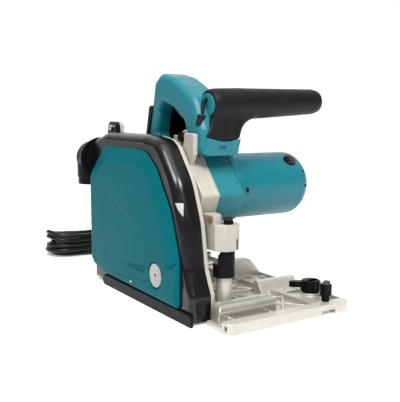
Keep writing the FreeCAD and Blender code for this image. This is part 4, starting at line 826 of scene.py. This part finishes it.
# ---- the CAD nodes, with rounded edges and finishes --------------------------------------------------
dress("base_plate", "cast", 0.6)
dress("front_crossbar", "bar", 0.8, segments=3)
dress("case_plate", "cream", 0.7)
dress("case_skid", "black", 0.8)
dress("nozzle_collar", "black", 0.4)
dress("dust_nozzle", "black", 0.6)
dress("gear_housing", "cream", 0.8)
dress("gear_cover", "cream", 1.0, segments=3)
dress("pivot_bracket", "cream", 0.8)
dress("depth_tower", "cream", 0.8, segments=3)
dress("motor_housing", "teal", 0.5)
dress("motor_end_cap", "teal", 0.5)
dress("grip_bracket", "teal", 0.4)
dress("grip_disc", "teal", 0.5)
dress("rear_grip", "soft", 1.2, segments=3)
dress("trigger", "black", 1.5, segments=3)
dress("lock_off_button", "black", 0.6)
dress("shaft_lock_button", "black", 0.6)
dress("plunge_lock_pin", "black", 0.7, segments=3)
dress("switch_body", "black", 0.5)
dress("speed_dial", "black", 0.3)
dress("cord_gland", "black", 0.4)
dress("depth_turret", "black", 0.6)
dress("rail_cam_front", "black", 0.6)
dress("rail_cam_rear", "black", 0.6)
dress("rail_lever", "black", 0.8)
dress("cover_lock_screw", "disc", 0.4)
dress("hex_key", "key", 0.3)
dress("depth_screw", "key", 0.3)
dress("lock_nut", "black", 0.4)
dress("turret_pin", "cast", 0.4)
dress("pivot_pin", "steel", 0.4)
dress("hinge_pin", "steel", 0.2)
dress("case_screws", "steel", 0.25)
dress("base_screws", "steel", 0.25)
dress("housing_screws", "steel", 0.25)
dress("saw_blade", "blade", 0.0)
dress("blade_flanges", "steel", 0.3)
dress("blade_bolt", "zinc", 0.3)


# ---- blade case: its front and top swell out round the corner --------------------------------------------
CASE_OUTLINE = [
    (46, 2, 1.5), (46, 30, 14), (58.5, 57, 22), (66, 105, 70), (84, 150, 70),
    (118, 192, 34), (152, 197.5, 40), (262, 200, 60), (300, 190, 14), (300, 2, 1.5),
]
# the front and the top, which the skin covers; not the foot, the bottom or the rear
CASE_PATH = [p for p in resampled(rounded(CASE_OUTLINE, 8), 3.0)
             if p.x < 297 and p.y > 34 and (p.y > 150 or p.x < 120)]
CASE_MIDDLE = Vector((200, 90))
CORNER_R, CORNER_X = 7, -9       # the CAD case's rounded corner
SKIN_COLUMNS = [-15.7, -15.97, -15.9, -15.5, -14.8, -13.8, -12.5, -11.0, -9.2, -7.2, -5.0, -2.5, 0.0, 2.5, 5.0, 7.0,
                8.4, 8.8]        # where the skin's columns lie, in X


def case_fade(p):
    """1 where the case swells fully, 0 at its foot and at its rear."""
    return smooth01((p.y - 36) / 24) * smooth01((294 - p.x) / 30)


def path_normal(points, i):
    d = points[min(i + 1, len(points) - 1)] - points[max(i - 1, 0)]
    n = Vector((d.y, -d.x)).normalized()
    return n if n.dot(points[i] - CASE_MIDDLE) > 0 else -n


def plain_corner(x):
    """How far the CAD case stands out from its outline at x."""
    if x >= CORNER_X:
        return 0.0
    return -CORNER_R + math.sqrt(max(0.0, CORNER_R ** 2 - (x - CORNER_X) ** 2))


def swell(x, fade):
    """How far the case's skin stands out from its outline at x."""
    if x < -2:
        full = -9 + 10.7 * math.sqrt(max(0.0, 1 - ((x + 2) / 14) ** 2))
    else:
        full = 1.7 * (1 - ((x + 2) / 12) ** 2)
    return (plain_corner(x) - 0.35) * (1 - fade) + full * fade


def build_case():
    shell = clean_copy("case_shell_skin", "case_shell")
    for v in shell.data.vertices:                  # the outer face sinks a little to make room for the skin
        x, *p = back_to_mm(v.co)
        p = Vector(p)
        best = min(range(len(CASE_PATH)), key=lambda i: (CASE_PATH[i] - p).length)
        n = path_normal(CASE_PATH, best)
        out = (p - CASE_PATH[best]).dot(n)
        if x > 9.1 or x < -15.95 or out > 0.3 or (p - CASE_PATH[best]).length > 8:
            continue
        if abs(out - plain_corner(x)) < 0.4:
            q = p - n * 1.6 * case_fade(CASE_PATH[best])
            v.co = c0(x, q.x, q.y)
    finished(shell, "hood", bevel=0.4)
    placed(shell, "case_shell", "base")
    verts, faces = [], []
    for i, p in enumerate(CASE_PATH):
        n, fade = path_normal(CASE_PATH, i), case_fade(p)
        for k, x in enumerate(SKIN_COLUMNS):
            out = swell(x, fade)
            if k == 0:
                out = swell(-16.0, fade) - 1.2
            if k == len(SKIN_COLUMNS) - 1:
                out = -1.5
            q = p + n * out
            verts.append(c0(x - (0.12 if 0 < k < 4 else 0), q.x, q.y))
    m = len(SKIN_COLUMNS)
    for i in range(len(CASE_PATH) - 1):
        for k in range(m):
            n = (k + 1) % m
            faces.append((i * m + k, i * m + n, (i + 1) * m + n, (i + 1) * m + k))
    last = (len(CASE_PATH) - 1) * m
    faces += [tuple(range(m)), tuple(last + k for k in range(m))]
    skin = from_lists("case_front_skin", verts, faces)
    finished(skin, "hood", smooth=40)
    own(skin, "base")


def case_patch(name, corners, lift, mat):
    """A thin plate that follows the case's skin; corners are (x, z) on its front side."""
    front = [p for p in CASE_PATH if p.x < 100]
    steps, verts, faces = 6, [], []

    def at(x, z, by):
        i = min(range(1, len(front) - 1), key=lambda j: abs(front[j].y - z))
        a, b = front[i], front[i + 1]
        if (front[i].y - z) * (front[i - 1].y - z) <= 0:
            a, b = front[i - 1], front[i]
        t = (z - a.y) / (b.y - a.y) if abs(b.y - a.y) > 1e-6 else 0.0
        p = a.lerp(b, t)
        n = path_normal(CASE_PATH, CASE_PATH.index(front[i]))
        d = swell(x + 0.3, 1.0) - swell(x - 0.3, 1.0)
        across = Vector((-d, 0.6)).normalized()
        q = p + n * (swell(x, 1.0) + by * across.y)
        return c0(x + by * across.x, q.x, q.y)

    for by in (lift, -0.8):
        for i in range(steps + 1):
            for k in range(steps + 1):
                u, w = i / steps, k / steps
                low = Vector(corners[0]).lerp(Vector(corners[1]), u)
                high = Vector(corners[3]).lerp(Vector(corners[2]), u)
                x, z = low.lerp(high, w)
                verts.append(at(x, z, by))
    m, half = steps + 1, (steps + 1) ** 2
    for i in range(steps):
        for k in range(steps):
            a = i * m + k
            faces.append((a, a + 1, a + m + 1, a + m))
            faces.append((half + a, half + a + m, half + a + m + 1, half + a + 1))
    rim = [i * m for i in range(m)] + [steps * m + k for k in range(1, m)]
    rim += [i * m + steps for i in range(steps - 1, -1, -1)] + list(range(steps - 1, 0, -1))
    for a, b in zip(rim, rim[1:] + rim[:1]):
        faces.append((a, b, half + b, half + a))
    obj = from_lists(name, verts, faces)
    finished(obj, mat, smooth=50)
    own(obj, "base")


build_case()
# painted shade and painted light: the sight slot is drawn as a dark plate for the shade inside it, with a pale patch
# over its upper part for the light seen there
case_patch("sight_window_painted_shade", [(-15.0, 110.6), (-11.0, 109.0), (-7.4, 127.6), (-15.3, 129.6)], 0.12, "dark")
case_patch("sight_window_painted_light", [(-13.6, 120.0), (-10.8, 113.5), (-8.0, 126.6), (-14.9, 128.8)], 0.25, "glint")


# ---- small fittings ------------------------------------------------------------------------------------
CAM_X = 150.0


def small_parts():
    """The tower's bolt, a dark plate painted as the shade in a notch in the motor's front edge, and the lobes round
    each cam's knob.
    """
    bolt = lathe("tower_bolt", [(0, 2.6), (0.4, 3.6), (2.4, 3.6), (2.5, 2.4), (14.5, 2.4), (15.0, 2.0)],
                 (16.0, 62.0, 109.0), (1, 0, 0), 24)
    finished(bolt, "bronze", smooth=35)
    own(bolt, "head")
    # painted shade: a dark plate on the motor stands for the shade inside its notch
    notch = slab("motor_notch_shade", [on_plane((86.5, 138.5), (91.5, 136.5), (90.5, 130.5), (88.0, 132.5))],
                 90.0, 93.0, 0.2, lambda u, v, w: c0(u, w, v), resolution=1)
    finished(notch, "dark")
    own(notch, "head")
    for body, y in (("cam_front", 46.0), ("cam_rear", 294.0)):
        for k in range(9):
            middle = polar(CAM_X, y, 9.6, 40 * k + 8)
            lobe = on_plane(*(polar(*middle, 2.5, 22.5 * j) for j in range(16)))
            obj = slab(f"{body}_lobe_{k}", [lobe], 16.0, 27.6, 0.5, xy, resolution=1)
            finished(obj, "black", smooth=50)
            own(obj, body)


def cast_ribs():
    """Low ribs on the base's ridge and in its front pocket, as on a pressure casting."""
    runs = [((121.3, 16), (121.3, 146), 11, 13.2), ((150.7, 60), (150.7, 146), 11, 13.2),
            ((121.3, 160), (121.3, 332), 11, 13.2), ((84, 17), (119, 60), 5, 10.0), ((84, 60), (119, 17), 5, 10.0)]
    runs += [((120, y), (152, y), 11, 12.6) for y in (66, 92, 118, 190, 216, 242, 268)]
    runs += [((121, a), (151, b), 11, 12.4) for a, b in ((66, 92), (118, 92), (216, 190), (216, 242))]
    for k, (a, b, z0, z1) in enumerate(runs):
        a, b = Vector(a), Vector(b)
        n = (b - a).normalized()
        side = Vector((-n.y, n.x)) * 1.2
        rib = slab(f"base_rib_{k}", [[a + side, b + side, b - side, a - side]], z0 - 1, z1, 0.5, xy, resolution=2)
        finished(rib, "cast", smooth=50)
        own(rib, "base")


small_parts()
cast_ribs()


MOTOR_MIDDLE = Vector((164.0, 130.0, 136.37))      # on the motor's axis, between the two brush caps
BRUSH_ANGLE = 130


def build_brush_caps():
    """Black caps, each with a brown middle where its screwdriver slot is."""
    obj = clean_copy("brush_caps_skin", "brush_caps")
    finished(obj, ["black", "brown"], bevel=0.3)
    d = Vector((0, *polar(0, 0, 1, BRUSH_ANGLE)))
    for face in obj.data.polygons:
        r = back_to_mm(face.center) - MOTOR_MIDDLE
        if (r - d * r.dot(d)).length < 5.6 and abs(r.dot(d)) > 39.5:
            face.material_index = 1
    placed(obj, "brush_caps", "head")


build_brush_caps()
INSIDE = {                       # hidden CAD nodes, which keep their own meshes
    "armature_bearings": "steel", "spindle_bearings": "steel", "armature_core": "core", "armature_shaft": "steel",
    "field_core": "core", "commutator": "copper", "cooling_fan": "black", "brushes": "carbon",
    "brush_holders": "copper", "big_gear": "steel", "spindle": "steel",
}
for inner, mat in INSIDE.items():
    materials = frame["nodes"][inner].data.materials
    materials.clear()
    materials.append(M[mat])


# ---- floor and light ------------------------------------------------------------------------------
def build_stage():
    size = 6.0
    floor = from_lists("floor", [Vector((-size, -size, 0)), Vector((size, -size, 0)), Vector((size, size, 0)),
                                 Vector((-size, size, 0))], [(0, 1, 2, 3)])
    mat = bpy.data.materials.new("pale_floor")
    mat.use_nodes = True
    shader = mat.node_tree.nodes["Principled BSDF"]
    shader.inputs["Base Color"].default_value = (0.80, 0.79, 0.78, 1)
    shader.inputs["Roughness"].default_value = 0.6
    shader.inputs["Specular IOR Level"].default_value = 0.1
    shader.inputs["Emission Color"].default_value = (1.0, 0.985, 0.975, 1)
    shader.inputs["Emission Strength"].default_value = 0.30
    floor.data.materials.append(mat)


def build_world():
    """A white wall behind the saw, a bright ceiling, and a dimmer room on the viewer's side."""
    world = bpy.data.worlds.new("studio")
    SCENE.world = world
    world.use_nodes = True
    nodes, links = world.node_tree.nodes, world.node_tree.links
    back = nodes["Background"]
    where = nodes.new("ShaderNodeTexCoord").outputs["Generated"]

    def facing(direction, low, high, a, b):
        dot = nodes.new("ShaderNodeVectorMath")
        dot.operation = "DOT_PRODUCT"
        dot.inputs[1].default_value = Vector(direction).normalized()
        links.new(where, dot.inputs[0])
        r = nodes.new("ShaderNodeMapRange")
        r.interpolation_type = "SMOOTHSTEP"
        r.inputs["From Min"].default_value, r.inputs["From Max"].default_value = low, high
        r.inputs["To Min"].default_value, r.inputs["To Max"].default_value = a, b
        links.new(dot.outputs["Value"], r.inputs["Value"])
        return r.outputs["Result"]

    def total(a, b):
        m = nodes.new("ShaderNodeMath")
        m.operation = "ADD"
        links.new(a, m.inputs[0])
        links.new(b, m.inputs[1])
        return m.outputs[0]

    wall = facing((math.sin(yaw), math.cos(yaw), 0), 0.55, 0.86, 0.0, 0.78)
    roof = facing((0.1, 0.2, 1), 0.45, 0.95, 0.0, 0.65)
    room = facing((-1, -0.3, 0.35), 0.0, 1.0, 0.24, 0.34)
    # the camera sees plain white, whichever way it looks
    seen = nodes.new("ShaderNodeMix")
    links.new(nodes.new("ShaderNodeLightPath").outputs["Is Camera Ray"], seen.inputs[0])
    links.new(total(total(wall, roof), room), seen.inputs[2])
    seen.inputs[3].default_value = 1.08
    links.new(seen.outputs[0], back.inputs["Strength"])
    back.inputs["Color"].default_value = (1.0, 0.995, 0.985, 1)


def soft_light(name, spot, target, size, watts):
    data = bpy.data.lights.new(name, "AREA")
    data.shape, data.size, data.energy = "DISK", size, watts
    obj = linked(name, data)
    obj.location = spot
    obj.rotation_euler = (Vector(target) - Vector(spot)).to_track_quat("-Z", "Y").to_euler()


def soft_sun(direction, strength, angle):
    data = bpy.data.lights.new("sky", "SUN")
    data.energy, data.angle = strength, math.radians(angle)
    obj = linked("sky", data)
    obj.rotation_euler = (-Vector(direction)).to_track_quat("-Z", "Y").to_euler()


build_stage()
build_world()
soft_sun((-0.25, -0.25, 1.0), 1.5, 50)
soft_light("key", (-0.75, -0.6, 1.25), (0, 0, 0.15), 0.5, 13.0)
soft_light("front", (-0.12, -1.05, 1.2), (0, -0.05, 0.12), 0.45, 13.0)
SCENE.view_settings.view_transform = "Standard"
